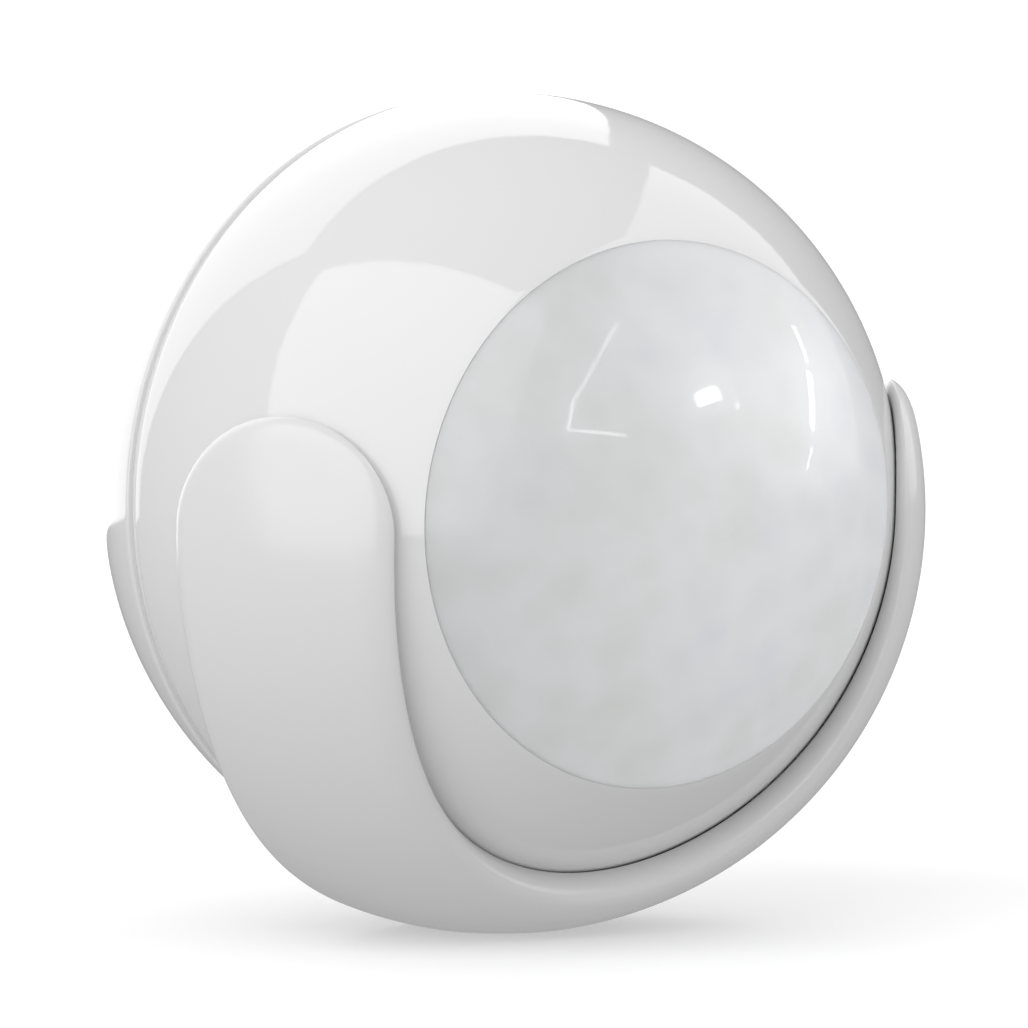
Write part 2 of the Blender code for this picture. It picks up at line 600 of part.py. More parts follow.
def make_switch(body_material, cap_material, ball):
    """Program switch behind the board, and the cap that is pressed from behind."""
    half = SWITCH_SIZE / 2
    seat = BOARD_REAR - FIT_GAP
    rear = seat - SWITCH_HEIGHT
    body = add_object("switch_body", box("switch_body", (-half, -SWITCH_DROP - half, rear),
                                         (half, -SWITCH_DROP + half, seat), 0.2 * MM),
                      body_material, ball)
    depth = STEM_REACH + PRESS_TRAVEL + FIT_GAP
    bore = rod("stem_bore", STEM_RADIUS + FIT_GAP, (0, -SWITCH_DROP, rear - CUT_MARGIN),
               (0, -SWITCH_DROP, rear + depth), 20)
    boolean(body, add_object("stem_bore", bore, None, ball), 'DIFFERENCE')
    pivot = add_empty("button_pivot", ball, (0, -SWITCH_DROP, rear))
    soft = 0.3 * MM
    profile = [(0, -STEM_STAND), (STEM_RADIUS - soft, -STEM_STAND),
               (STEM_RADIUS, -STEM_STAND + soft), (STEM_RADIUS, STEM_REACH), (0, STEM_REACH)]
    mesh = revolve("button_cap", profile, closed=False, segments=20)
    add_object("button_cap", mesh, cap_material, pivot)


def make_board_parts(black, metal, white, ball):
    """Everything else that is soldered to the front of the board."""
    chip("radio_module", (-11.5 * MM, 1.0 * MM), (12 * MM, 10 * MM, 2.2 * MM), metal, ball)
    chip("microcontroller", (11.0 * MM, -5.0 * MM), (6 * MM, 6 * MM, 0.9 * MM), black, ball)
    chip("crystal", (11.0 * MM, 1.5 * MM), (3.2 * MM, 2.5 * MM, 0.8 * MM), metal, ball)
    chip("accelerometer", (5.0 * MM, -12.5 * MM), (3 * MM, 3 * MM, 0.9 * MM), black, ball)
    chip("light_sensor", (6.5 * MM, 9.0 * MM), (2 * MM, 2 * MM, 0.8 * MM), white, ball)
    led, led_height = 1.5 * MM, 2.4 * MM
    flange, flange_height = 1.8 * MM, 0.7 * MM
    dome = [(led * math.cos(a), led_height + led * math.sin(a))
            for a in (math.pi / 8 * i for i in range(5))]
    profile = [(0, 0), (flange, 0), (flange, flange_height), (led, flange_height)] + dome
    make_round_part("status_led", (0, 9.5 * MM), profile, white, ball)
    can, can_height, soft = 2.5 * MM, 5.4 * MM, 0.4 * MM
    profile = [(0, 0), (can, 0), (can, can_height - soft), (can - soft, can_height),
               (0, can_height)]
    make_round_part("reservoir_capacitor", (-5.0 * MM, -12.5 * MM), profile, metal, ball)


def main():
    clear_scene()
    white = make_material("white_gloss_plastic", (0.86, 0.86, 0.86), 0.18)
    inner_white = make_material("white_moulding", (0.80, 0.80, 0.79), 0.45)
    milky = make_material("milky_lens", (0.80, 0.83, 0.82), 0.25, transmission=0.3)
    foam = make_material("grey_foam", (0.35, 0.35, 0.36), 0.9)
    green = make_material("circuit_board", (0.05, 0.22, 0.12), 0.4)
    black = make_material("black_moulding", (0.03, 0.03, 0.035), 0.4)
    nickel = make_material("nickel_plate", (0.62, 0.60, 0.57), 0.3, metallic=1.0)
    steel = make_material("zinc_steel", (0.55, 0.56, 0.58), 0.35, metallic=1.0)
    sleeve = make_material("cell_sleeve", (0.12, 0.18, 0.34), 0.35)
    filter_glass = make_material("filter_window", (0.05, 0.05, 0.06), 0.15, metallic=0.4)

    make_cradle(white)
    make_adhesive_pad(foam)

    # The ball tilts about the x axis through its centre.
    ball = add_empty("ball_pivot", None, (0, 0, BALL_HEIGHT), (math.pi / 2, 0, 0))
    make_front_shell(white, ball)
    make_lens(milky, ball)
    make_lens_ring(inner_white, ball)
    make_rear_cover(white, add_empty("cover_slide", ball))
    make_chassis(inner_white, ball)
    make_screws(steel, ball)
    make_cell(sleeve, add_empty("cell_slide", ball, (0, 0, CELL_Z)))
    blade("positive_contact", 1, nickel, ball)
    blade("negative_blade", -1, nickel, ball)
    make_spring(nickel, ball)
    make_board(green, ball)
    make_detector(black, nickel, filter_glass, ball)
    make_board_parts(black, nickel, inner_white, ball)
    make_antenna(nickel, ball)
    make_switch(black, inner_white, ball)


main()
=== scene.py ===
"""Fine pieces, finishes and studio for a ball-shaped motion sensor in its saddle cradle.

Pieces of the ball are modelled in the ball's own frame, as the design is: x to the right, y up and
z forward along the lens axis, from the ball's centre.  The cradle and its pad are modelled in the
world, whose origin is the middle of the fixing face.
"""
import json
import math

import bmesh
import bpy
from mathutils import Matrix, Vector


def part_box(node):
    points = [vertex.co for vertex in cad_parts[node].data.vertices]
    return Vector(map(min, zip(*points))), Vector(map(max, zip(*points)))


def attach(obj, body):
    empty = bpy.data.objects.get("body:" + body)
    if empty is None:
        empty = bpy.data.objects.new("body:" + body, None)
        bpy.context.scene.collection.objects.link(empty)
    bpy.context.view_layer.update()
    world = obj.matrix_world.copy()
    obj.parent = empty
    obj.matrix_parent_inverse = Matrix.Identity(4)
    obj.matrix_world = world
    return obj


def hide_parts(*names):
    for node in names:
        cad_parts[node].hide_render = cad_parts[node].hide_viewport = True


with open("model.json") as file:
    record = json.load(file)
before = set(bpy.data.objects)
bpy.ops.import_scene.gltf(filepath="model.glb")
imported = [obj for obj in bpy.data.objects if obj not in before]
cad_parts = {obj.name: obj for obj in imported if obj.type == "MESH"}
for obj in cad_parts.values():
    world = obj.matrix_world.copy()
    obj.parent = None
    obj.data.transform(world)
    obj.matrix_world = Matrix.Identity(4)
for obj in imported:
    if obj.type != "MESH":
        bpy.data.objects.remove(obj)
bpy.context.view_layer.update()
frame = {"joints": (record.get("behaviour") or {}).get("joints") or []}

bl_info = {
    "name": "Ball Motion Sensor",
    "version": (1, 0, 0),
    "blender": (4, 5, 0),
    "location": "3D View > Sidebar > Sensor",
    "description": "Fine pieces, finishes and studio for a ball motion sensor in its cradle",
    "category": "Object",
}

MM = 0.001
MERGE = 1e-7        # points nearer than this are one point
ON_SPHERE = 1e-5    # an edge this near the outer sphere lies on it

# ---- places read from the frame ---------------------------------------------
TILT = next(joint for joint in frame["joints"] if joint["name"] == "ball_tilt")
CENTRE = Vector(TILT["pos_m"])
BALL_FRAME = Matrix.Translation(CENTRE) @ Matrix.Rotation(math.pi / 2, 4, 'X')
BALL_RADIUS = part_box("rear_cover")[1].y - CENTRE.y
ARC_STEP = math.radians(1.5)
CONTACTS = ("negative_blade", "positive_contact")
SCREWS = ("board_screw_1", "board_screw_2", "board_screw_3")


def ball_box(node):
    """Lowest and highest corner of a node in the ball's frame."""
    inverse = BALL_FRAME.inverted()
    corners = [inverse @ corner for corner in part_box(node)]
    return Vector(map(min, *corners)), Vector(map(max, *corners))


def middle_of(low, high):
    """Middle of a box across the ball."""
    return (low.x + high.x) / 2, (low.y + high.y) / 2


# ---- sizes and colours a user would change ----------------------------------
def length(name, description, default_mm):
    """A length property given in millimetres."""
    return bpy.props.FloatProperty(name=name, description=description, default=default_mm * MM,
                                   unit='LENGTH', precision=5)


def colour(name, description, default):
    """A colour property."""
    return bpy.props.FloatVectorProperty(name=name, description=description, default=default,
                                         subtype='COLOR', size=3, min=0.0, max=1.0)


def number(name, description, default):
    """A plain number property."""
    return bpy.props.FloatProperty(name=name, description=description, default=default)


def angle(name, description, default_deg):
    """An angle property given in degrees."""
    return bpy.props.FloatProperty(name=name, description=description,
                                   default=math.radians(default_deg), subtype='ANGLE')


class SensorCradleSizes(bpy.types.PropertyGroup):
    """Outline and edges of the saddle cradle."""
    arm_wall: length("Arm Wall", "Wall between socket and outside at the arms", 1.56)
    socket_gap: length("Socket Gap", "Air between the ball and the socket", 0.10)
    foot_extra: length("Foot Extra", "Drop of the outer sphere below the ball's centre", 1.17)
    half_width: length("Half Width", "Half the strap's width at the arms", 7.25)
    tip_forward: length("Tip Forward", "Centre of the rounded arm tip before the ball's", 10.35)
    tip_drop: length("Tip Drop", "Centre of the rounded arm tip below the ball's", 0.55)
    front_radius: length("Front Edge Radius", "Bow of the front edge seen from the side", 47.0)
    rear_sweep: length("Rear Sweep", "How far the rear edge sweeps back", 6.0)
    rear_drop: length("Rear Sweep Drop", "Drop at which the rear sweep is full", 21.7)
    rear_start: length("Rear Sweep Start", "Drop at which the rear sweep begins", 1.45)
    rear_power: number("Rear Sweep Power", "How late the rear edge turns back", 2.56)
    outer_fillet: length("Outer Rounding", "Reach of the outer edge's rounding on the strap", 1.5)
    outer_sink: length("Outer Rounding Depth", "Part of the wall that the rounding takes", 0.85)
    inner_bevel: length("Inner Bevel", "Depth to which the socket's edge is bevelled", 2.2)


class SensorShellSizes(bpy.types.PropertyGroup):
    """Walls, seam and lens opening of the ball."""
    wall: length("Wall", "Wall of the two shells", 1.6)
    seam_setback: length("Seam Setback", "Front edge of the seam groove behind the centre", 3.75)
    seam_width: length("Seam Width", "Width of the seam groove", 1.2)
    seam_round: length("Seam Rounding", "Rounding of the seam's edges", 0.22)
    seam_depth: length("Seam Depth", "Depth of the seam groove", 0.4)
    seam_line: length("Seam Line", "Air between the shell and the band in the seam", 0.12)
    lip_length: length("Lip Length", "Reach of the cover's lip into the front shell", 3.0)
    lip_wall: length("Lip Wall", "Wall of the cover's lip", 1.2)
    fit_gap: length("Fit Gap", "Air between neighbours", 0.3)
    opening_radius: length("Opening Radius", "Radius of the lens opening", 17.15)
    opening_wall: length("Opening Wall", "Shell left in front of the lens flange", 0.8)
    opening_round: length("Opening Rounding", "Rounding of the opening's edge", 0.05)
    flange_width: length("Flange Width", "Width of the lens flange", 2.2)
    lens_wall: length("Lens Wall", "Wall of the lens", 0.8)
    lens_line: length("Lens Line", "Fine line left open round the lens", 0.02)
    ring_skirt: length("Ring Skirt", "Part of the retaining ring beyond the flange", 1.4)
    ring_wall: length("Ring Wall", "Wall of the retaining ring", 1.4)
    notch_width: length("Notch Width", "Width of the notches in the ring", 3.0)
    notch_depth: length("Notch Depth", "Depth of the notches in the ring", 0.5)
    facet_pitch: length("Facet Pitch", "Spacing of the lens facets", 2.5)
    facet_depth: length("Facet Depth", "Depth of the lens facets", 0.16)


class SensorInnerSizes(bpy.types.PropertyGroup):
    """Details of the pieces inside the ball."""
    edge: length("Edge", "Rounding of the mouldings' edges", 0.15)
    post_radius: length("Post Radius", "Radius of the screw posts", 1.9)
    post_embed: length("Post Root", "How far a post runs into the shell's wall", 1.1)
    screw_clearance: length("Screw Clearance", "Air round a screw's shank", 0.3)
    rib_half: length("Rib Half Width", "Half the thickness of the cover's ribs", 0.7)
    rib_reach: length("Rib Reach", "Half the length of the cover's ribs", 4.5)
    rib_embed: length("Rib Root", "How far a rib runs into the cover's wall", 0.5)
    cell_clearance: length("Cell Clearance", "Air between the cell and its saddles", 0.5)
    saddle_spread: length("Saddle Spread", "Saddle ribs to the left and right of the middle", 9.0)
    saddle_width: length("Saddle Width", "Thickness of a saddle rib", 1.4)
    saddle_depth: length("Saddle Depth", "Reach of a saddle rib behind the floor", 5.5)
    saddle_shoulder: length("Saddle Shoulder", "Rib beside the cell's groove", 1.4)
    end_wall: length("End Wall", "Thickness of the contact walls", 1.2)
    end_wall_depth: length("End Wall Depth", "Reach of the contact walls behind the floor", 11.0)
    end_wall_half: length("End Wall Half Width", "Half the width of the contact walls", 5.0)
    floor: length("Floor", "Thickness of the chassis floor", 1.2)
    tail_half: length("Tail Half Width", "Half the width of a contact's solder tail", 1.0)
    cell_edge: length("Cell Edge", "Rounding of the cell's ends", 0.5)
    nub_radius: length("Nub Radius", "Radius of the cell's positive end", 3.2)
    spring_wire: length("Spring Wire", "Diameter of the spring's wire", 0.5)
    spring_turns: number("Spring Turns", "Turns of the spring", 2.5)
    spring_small: length("Spring Small End", "Radius of the spring at the cell", 2.2)
    spring_large: length("Spring Large End", "Radius of the spring at the blade", 4.0)
    antenna_wire: length("Antenna Wire", "Diameter of the antenna's wire", 0.8)
    antenna_inset: length("Antenna Inset", "Antenna from the board's edge", 3.4)
    stem_radius: length("Stem Radius", "Radius of the switch's cap", 1.5)
    cap_travel: length("Cap Travel", "Travel of the switch's cap", 0.4)


class SensorScrewSizes(bpy.types.PropertyGroup):
    """Shape of the three board screws."""
    shank_radius: length("Shank Radius", "Radius over the thread", 0.9)
    head_radius: length("Head Radius", "Radius of the pan head", 1.8)
    head_height: length("Head Height", "Height of the pan head", 1.3)
    thread_depth: length("Thread Depth", "Depth of the thread", 0.16)
    pitch: length("Thread Pitch", "Pitch of the thread", 0.6)
    recess_reach: length("Recess Reach", "Half the width of the cross recess", 1.0)
    recess_half: length("Recess Half Width", "Half the thickness of the recess's wings", 0.16)


class SensorFinishes(bpy.types.PropertyGroup):
    """Colours of the finishes."""
    cradle: colour("Cradle", "Glossy white of the cradle", (0.78, 0.78, 0.78))
    shell: colour("Shell", "Glossy white of the ball", (0.79, 0.79, 0.79))
    lens: colour("Lens", "Milky lens", (0.54, 0.56, 0.545))
    lens_cool: colour("Lens Cool Patches", "Cooler patches in the lens", (0.55, 0.555, 0.585))
    lens_cloud: colour("Lens Cloud", "Paler clouds in the lens", (0.595, 0.60, 0.61))
    moulding: colour("Moulding", "White inner mouldings", (0.78, 0.78, 0.77))
    foam: colour("Foam", "Adhesive foam", (0.35, 0.35, 0.36))
    black: colour("Black Moulding", "Chips, switch and spacer", (0.025, 0.025, 0.028))
    nickel: colour("Nickel", "Plated contacts and cans", (0.66, 0.63, 0.58))
    steel: colour("Steel", "Zinc-plated screws and cell ends", (0.60, 0.62, 0.65))
    aluminium: colour("Aluminium", "Capacitor can", (0.78, 0.78, 0.80))
    board: colour("Board", "Solder mask", (0.012, 0.13, 0.06))
    board_track: colour("Board Track", "Mask over copper", (0.04, 0.27, 0.12))
    sleeve: colour("Sleeve", "Cell sleeve", (0.05, 0.10, 0.26))
    sleeve_band: colour("Sleeve Band", "Band at the cell's positive end", (0.62, 0.66, 0.70))
    resin: colour("Resin", "Lamp and light sensor", (0.86, 0.87, 0.85))
    filter: colour("Filter", "Detector window", (0.035, 0.03, 0.045))


class SensorStage(bpy.types.PropertyGroup):
    """Camera and lights."""
    azimuth: angle("Camera Azimuth", "Camera round the sensor, from straight ahead", -32.5)
    elevation: angle("Camera Elevation", "Camera above the horizon", 5.6)
    distance: number("Camera Distance", "Camera to the ball's centre, in metres", 2.0)
    view_width: length("View Width", "Width of the view at the ball", 64.5)
    aim_right: length("Aim Right", "Aim to the right of the ball's centre", 0.838)
    aim_down: length("Aim Down", "Aim below the ball's centre", 1.453)
    rig: number("Rig Distance", "Softboxes to the ball's centre, in metres", 1.5)
    key: number("Key", "Radiance of the softbox beside the camera", 0.9)
    fill: number("Fill", "Radiance of the softboxes behind", 0.5)
    key_shine: number("Key Shine", "Radiance of the first softbox in reflections", 2.2)
    left_shine: number("Left Shine", "Radiance of the left one behind, in reflections", 1.5)
    right_shine: number("Right Shine", "Radiance of the right one behind, in reflections", 1.5)
    inner_glow: number("Inner Glow", "Radiance of the light scattered behind the lens", 1.0)
    lens_fill: number("Lens Fill", "Radiance of the fill on the lens", 2.0)
    glint: number("Glint", "Radiance of the glints on the lens", 40.0)
    sky: number("Sky", "Ambient light from above", 0.66)
    ground: number("Ground", "Ambient light from below", 0.56)
    sky_shine: number("Sky Shine", "Share of the ambient light seen in reflections", 0.6)


# ---- shader maths -----------------------------------------------------------
class Channel:
    """A node's output that works in sums like a number."""

    def __init__(self, recipe, node, socket):
        self.recipe = recipe
        self.node = node
        self.socket = socket

    def out(self, name):
        """Another output of the same node."""
        return Channel(self.recipe, self.node, self.node.outputs[name])

    def _sum(self, operation, first, second):
        return self.recipe.node('ShaderNodeMath', {"operation": operation}, first, second)

    def __add__(self, other):
        return self._sum('ADD', self, other)

    def __radd__(self, other):
        return self._sum('ADD', other, self)

    def __sub__(self, other):
        return self._sum('SUBTRACT', self, other)

    def __rsub__(self, other):
        return self._sum('SUBTRACT', other, self)

    def __mul__(self, other):
        return self._sum('MULTIPLY', self, other)

    def __rmul__(self, other):
        return self._sum('MULTIPLY', other, self)


class Recipe:
    """Node tree of one finish."""

    def __init__(self, name, tree=None):
        self.material = None
        if tree is None:
            self.material = bpy.data.materials.new(name)
            self.material.use_nodes = True
            tree = self.material.node_tree
        self.tree = tree
        tree.nodes.clear()

    def node(self, kind, settings=None, *values, **named):
        """Add a node: its settings first, then values or links for its sockets."""
        node = self.tree.nodes.new(kind)
        for key, value in (settings or {}).items():
            if key == "stops":
                self._set_stops(node.color_ramp, value)
            else:
                setattr(node, key, value)
        inputs = [socket for socket in node.inputs if socket.enabled]
        pairs = list(zip(inputs, values))
        pairs += [(node.inputs[key.replace("_", " ")], value) for key, value in named.items()]
        for socket, value in pairs:
            if isinstance(value, Channel):
                self.tree.links.new(value.socket, socket)
            else:
                socket.default_value = value
        outputs = [socket for socket in node.outputs if socket.enabled]
        return Channel(self, node, outputs[0] if outputs else None)

    @staticmethod
    def _set_stops(ramp, stops):
        while len(ramp.elements) < len(stops):
            ramp.elements.new(0.5)
        for element, (place, shade) in zip(ramp.elements, stops):
            element.position = place
            element.color = (shade, shade, shade, 1.0)

    def where(self, scale=(1, 1, 1), turn=(0, 0, 0)):
        """Object coordinates, scaled and turned."""
        place = self.node('ShaderNodeTexCoord').out("Object")
        return self.node('ShaderNodeMapping', None, place, Rotation=turn, Scale=scale)

    def grain(self, scale, detail=3.0, rough=0.55, place=None):
        """Noise from 0 to 1 with features of 1/scale metres."""
        return self.node('ShaderNodeTexNoise', None, Vector=place or self.where(), Scale=scale,
                         Detail=detail, Roughness=rough)

    def ramp(self, value, *stops):
        """Value through a grey ramp of (place, shade) stops."""
        return self.node('ShaderNodeValToRGB', {"stops": stops}, value)

    def blend(self, share, first, second):
        """First colour at share 0, second at 1."""
        first, second = (c if isinstance(c, Channel) else (*c, 1.0) for c in (first, second))
        return self.node('ShaderNodeMix', {"data_type": 'RGBA'}, share, first, second)

    def bump(self, height, distance, strength=1.0):
        """A normal from a height, in metres of relief."""
        return self.node('ShaderNodeBump', None, Strength=strength, Distance=distance,
                         Height=height)

    def finish(self, **sockets):
        """Principled shader with these sockets, and the material's output."""
        shader = self.node('ShaderNodeBsdfPrincipled', None, **sockets)
        self.node('ShaderNodeOutputMaterial', None, shader)
        return self.material


# ---- finishes ---------------------------------------------------------------
def shaded(tone, share):
    """A tone darkened to a share of itself."""
    return tuple(channel * share for channel in tone)


def gloss_plastic(name, tone, roughness=0.06, ior=1.5):
    """Glossy injection-moulded white with a faint orange peel."""
    recipe = Recipe(name)
    cloud = recipe.grain(90.0, 2.0)
    peel = recipe.grain(900.0, 2.0, 0.4)
    return recipe.finish(
        Base_Color=recipe.blend(cloud, shaded(tone, 0.985), tone),
        Roughness=recipe.ramp(cloud, (0.3, 0.75 * roughness), (0.7, 1.25 * roughness)),
        Normal=recipe.bump(peel, 0.000004),
        IOR=ior)


def milky_lens(name, tone, cool, pale):
    """Cloudy polyethylene with its facets showing through."""
    recipe = Recipe(name)
    cloud = recipe.grain(260.0, 2.5)
    cells = recipe.node('ShaderNodeTexVoronoi', {"feature": 'SMOOTH_F1'}, Vector=recipe.where(),
                        Scale=380.0, Smoothness=0.6)
    mixed = recipe.ramp(cloud * 0.65 + cells * 0.35, (0.25, 0.0), (0.65, 1.0))
    place = recipe.node('ShaderNodeSeparateXYZ', None, recipe.where())
    lean = place.out("X") * 9.0 + (place.out("Z") - CENTRE.z) * 6.0
    patches = recipe.ramp(recipe.grain(85.0, 1.0) + lean, (0.42, 0.0), (0.62, 1.0))
    return recipe.finish(
        Base_Color=recipe.blend(mixed, recipe.blend(patches, tone, cool), pale),
        Roughness=recipe.ramp(cloud, (0.3, 0.36), (0.7, 0.44)),
        Normal=recipe.bump(recipe.grain(500.0, 2.0), 0.00001),
        Subsurface_Weight=0.7,
        Subsurface_Radius=(1.0, 1.0, 1.0),
        Subsurface_Scale=0.0012,
        Coat_Weight=0.25,
        Coat_Roughness=0.03,
        IOR=1.5)


def satin_plastic(name, tone, roughness=0.42):
    """Spark-eroded moulding with a fine even texture."""
    recipe = Recipe(name)
    cloud = recipe.grain(120.0, 3.0)
    return recipe.finish(
        Base_Color=recipe.blend(cloud, shaded(tone, 0.95), tone),
        Roughness=recipe.ramp(cloud, (0.3, roughness - 0.04), (0.7, roughness + 0.05)),
        Normal=recipe.bump(recipe.grain(6000.0, 2.0), 0.000006))


def foam_tape(name, tone):
    """Closed-cell foam with adhesive."""
    recipe = Recipe(name)
    cells = recipe.node('ShaderNodeTexVoronoi', None, Vector=recipe.where(), Scale=3500.0)
    return recipe.finish(
        # the cells' middles, which the bump sinks into pits, are painted darker: painted shade in
        # the hollows
        Base_Color=recipe.blend(cells, shaded(tone, 0.6), tone),
        Roughness=recipe.ramp(cells, (0.1, 0.75), (0.8, 0.95)),
        Normal=recipe.bump(cells, 0.00006))


def plated_metal(name, tone, roughness=0.24, scratches=0.12):
    """Bright metal with fine drawn lines and faint stains."""
    recipe = Recipe(name)
    stain = recipe.grain(150.0, 3.0)
    drawn = recipe.grain(1.0, 2.0, place=recipe.where(scale=(900.0, 9000.0, 9000.0)))
    rough = recipe.ramp(stain * 0.6 + drawn * 0.4, (0.3, roughness - scratches / 2),
                        (0.7, roughness + scratches))
    return recipe.finish(
        Base_Color=recipe.blend(stain, shaded(tone, 0.86), tone),
        Metallic=1.0,
        Roughness=rough,
        Normal=recipe.bump(drawn, 0.000002))


def solder_mask(name, tone, track):
    """Green board with tracks and plated holes showing through the mask."""
    recipe = Recipe(name)
    place = recipe.where(scale=(700.0, 700.0, 700.0), turn=(math.pi / 2, 0, 0))
    tracks = recipe.node('ShaderNodeTexBrick', {"offset": 0.37, "squash": 1.6}, Vector=place,
                         Color1=(0.0, 0.0, 0.0, 1.0), Color2=(0.3, 0.3, 0.3, 1.0),
                         Mortar=(1.0, 1.0, 1.0, 1.0), Scale=0.9, Mortar_Size=0.07,
                         Mortar_Smooth=0.2)
    holes = recipe.node('ShaderNodeTexVoronoi', None, Vector=place, Scale=0.55)
    weave = recipe.grain(2500.0, 2.0)
    copper = recipe.ramp(tracks, (0.4, 0.0), (0.6, 1.0))
    plated = recipe.ramp(holes, (0.06, 1.0), (0.075, 0.0))
    base = recipe.blend(copper, tone, track)
    return recipe.finish(
        Base_Color=recipe.blend(plated, base, (0.55, 0.5, 0.36)),
        Metallic=plated * 0.8,
        Roughness=recipe.ramp(weave, (0.3, 0.28), (0.7, 0.4)),
        Normal=recipe.bump(copper * 0.7 + weave * 0.3, 0.00002))


def printed_sleeve(name, tone, band, start, width):
    """Shrink sleeve with a plain band round the positive end."""
    recipe = Recipe(name)
    across = recipe.node('ShaderNodeSeparateXYZ', None, recipe.where()).out("X")
    share = recipe.node('ShaderNodeMapRange', None, across, start, start + width)
    rings = recipe.ramp(share, (0.0, 0.0), (0.01, 1.0), (0.70, 1.0), (0.71, 0.0),
                        (0.80, 0.0), (0.81, 1.0), (1.0, 1.0))
    shrink = recipe.grain(180.0, 3.0, place=recipe.where(scale=(0.35, 1.0, 1.0)))
    wrinkle = recipe.grain(900.0, 3.0, place=recipe.where(scale=(0.25, 1.0, 1.0)))
    return recipe.finish(
        Base_Color=recipe.blend(rings, recipe.blend(shrink, shaded(tone, 0.8), tone), band),
        Roughness=recipe.ramp(shrink, (0.3, 0.2), (0.7, 0.34)),
        Normal=recipe.bump(wrinkle, 0.00003),
        Coat_Weight=0.3,
        Coat_Roughness=0.12)


def clear_resin(name, tone):
    """Cast resin with faint haze."""
    recipe = Recipe(name)
    haze = recipe.grain(400.0, 3.0)
    return recipe.finish(
        Base_Color=recipe.blend(haze, shaded(tone, 0.93), tone),
        Roughness=recipe.ramp(haze, (0.3, 0.06), (0.7, 0.14)),
        Normal=recipe.bump(haze, 0.00001),
        Subsurface_Weight=0.5,
        Subsurface_Radius=(1.0, 1.0, 1.0),
        Subsurface_Scale=0.0006,
        IOR=1.52)


def coated_filter(name, tone):
    """Dark infrared filter with an oily interference sheen painted into its colour."""
    recipe = Recipe(name)
    film_and_painted_sheen = recipe.grain(250.0, 2.0)
    painted_sheen_tint = (tone[0] * 2.2, tone[1] * 1.4, tone[2] * 2.8)
    return recipe.finish(
        # base colour drifts from the dark tone to the purple tint with the noise: a painted
        # interference sheen
        Base_Color=recipe.blend(film_and_painted_sheen, tone, painted_sheen_tint),
        Metallic=0.4,
        Roughness=recipe.ramp(film_and_painted_sheen, (0.3, 0.05), (0.7, 0.12)),
        Normal=recipe.bump(film_and_painted_sheen, 0.000003),
        Coat_Weight=0.6,
        Coat_Roughness=0.04)


# ---- shapes -----------------------------------------------------------------
def chord(radius, offset):
    """Half-width of a circle at an offset from its centre."""
    return math.sqrt(max(radius ** 2 - offset ** 2, 0.0))


def arc(radius, start, end, step=ARC_STEP):
    """Points (distance from the axis, forward) on a sphere, by angle from the axis."""
    count = max(2, math.ceil(abs(end - start) / step))
    angles = [start + (end - start) * i / count for i in range(count + 1)]
    return [(radius * math.sin(a), radius * math.cos(a)) for a in angles]


def linked(name, data):
    """A new object with this data in the scene."""
    obj = bpy.data.objects.new(name, data)
    bpy.context.scene.collection.objects.link(obj)
    return obj


def as_mesh(name, bm):
    """A new mesh with this shape, which is used up."""
    mesh = bpy.data.meshes.new(name)
    bm.to_mesh(mesh)
    bm.free()
    return mesh


def evaluated(obj):
    """The shape that a curve, or an object with modifiers, comes out as."""
    bm = bmesh.new()
    bm.from_mesh(obj.evaluated_get(bpy.context.evaluated_depsgraph_get()).to_mesh())
    return bm


def turned(profile, closed=True, segments=240):
    """A shape turned round the forward axis from (distance from the axis, forward) points."""
    bm = bmesh.new()
    verts = [bm.verts.new((max(r, 0.0), 0, z)) for r, z in profile]
    edges = [bm.edges.new(pair) for pair in zip(verts, verts[1:])]
    if closed:
        edges.append(bm.edges.new((verts[-1], verts[0])))
    bmesh.ops.spin(bm, geom=verts + edges, cent=(0, 0, 0), axis=(0, 0, 1),
                   angle=2 * math.pi, steps=segments, use_merge=True)
    bmesh.ops.remove_doubles(bm, verts=bm.verts, dist=MERGE)
    bmesh.ops.dissolve_degenerate(bm, edges=bm.edges, dist=1e-8)
    bmesh.ops.recalc_face_normals(bm, faces=bm.faces)
    return bm


def soften(bm, width, segments=3, limit_deg=30, only=None):
    """Round the edges that are sharper than the limit."""
    limit = math.radians(limit_deg)
    sharp = [edge for edge in bm.edges
             if edge.calc_face_angle(0.0) > limit and (only is None or only(edge))]
    bmesh.ops.bevel(bm, geom=sharp, offset=width, segments=segments, profile=0.5,
                    affect='EDGES', material=-1, clamp_overlap=True)
    return bm


def block(low, high, edge=0.0, segments=2):
    """A block between two corners with rounded edges."""
    bm = bmesh.new()
    bmesh.ops.create_cube(bm, size=1.0)
    low, high = Vector(low), Vector(high)
    bmesh.ops.scale(bm, vec=high - low, verts=bm.verts)
    bmesh.ops.translate(bm, vec=(high + low) / 2, verts=bm.verts)
    if edge:
        soften(bm, edge, segments)
    return bm


def rod(radius, start, end, segments=48, edge=0.0):
    """A round bar between two points with rounded ends."""
    start, end = Vector(start), Vector(end)
    bm = bmesh.new()
    bmesh.ops.create_cone(bm, cap_ends=True, segments=segments, radius1=radius,
                          radius2=radius, depth=(end - start).length)
    if edge:
        soften(bm, edge, 3, 60)
    turn = Vector((0, 0, 1)).rotation_difference(end - start).to_matrix().to_4x4()
    bmesh.ops.transform(bm, matrix=Matrix.Translation((start + end) / 2) @ turn, verts=bm.verts)
    return bm


def together(*shapes):
    """Several separate shapes in one mesh."""
    result = bmesh.new()
    for shape in shapes:
        mesh = as_mesh("helper", shape)
        result.from_mesh(mesh)
        bpy.data.meshes.remove(mesh)
    return result


def moved(bm, *offset):
    """The shape, shifted."""
    bmesh.ops.translate(bm, vec=Vector(offset), verts=bm.verts)
    return bm


def swung(bm, turn):
    """The shape, turned round the forward axis."""
    bmesh.ops.rotate(bm, verts=bm.verts, cent=(0, 0, 0), matrix=Matrix.Rotation(turn, 3, 'Z'))
    return bm


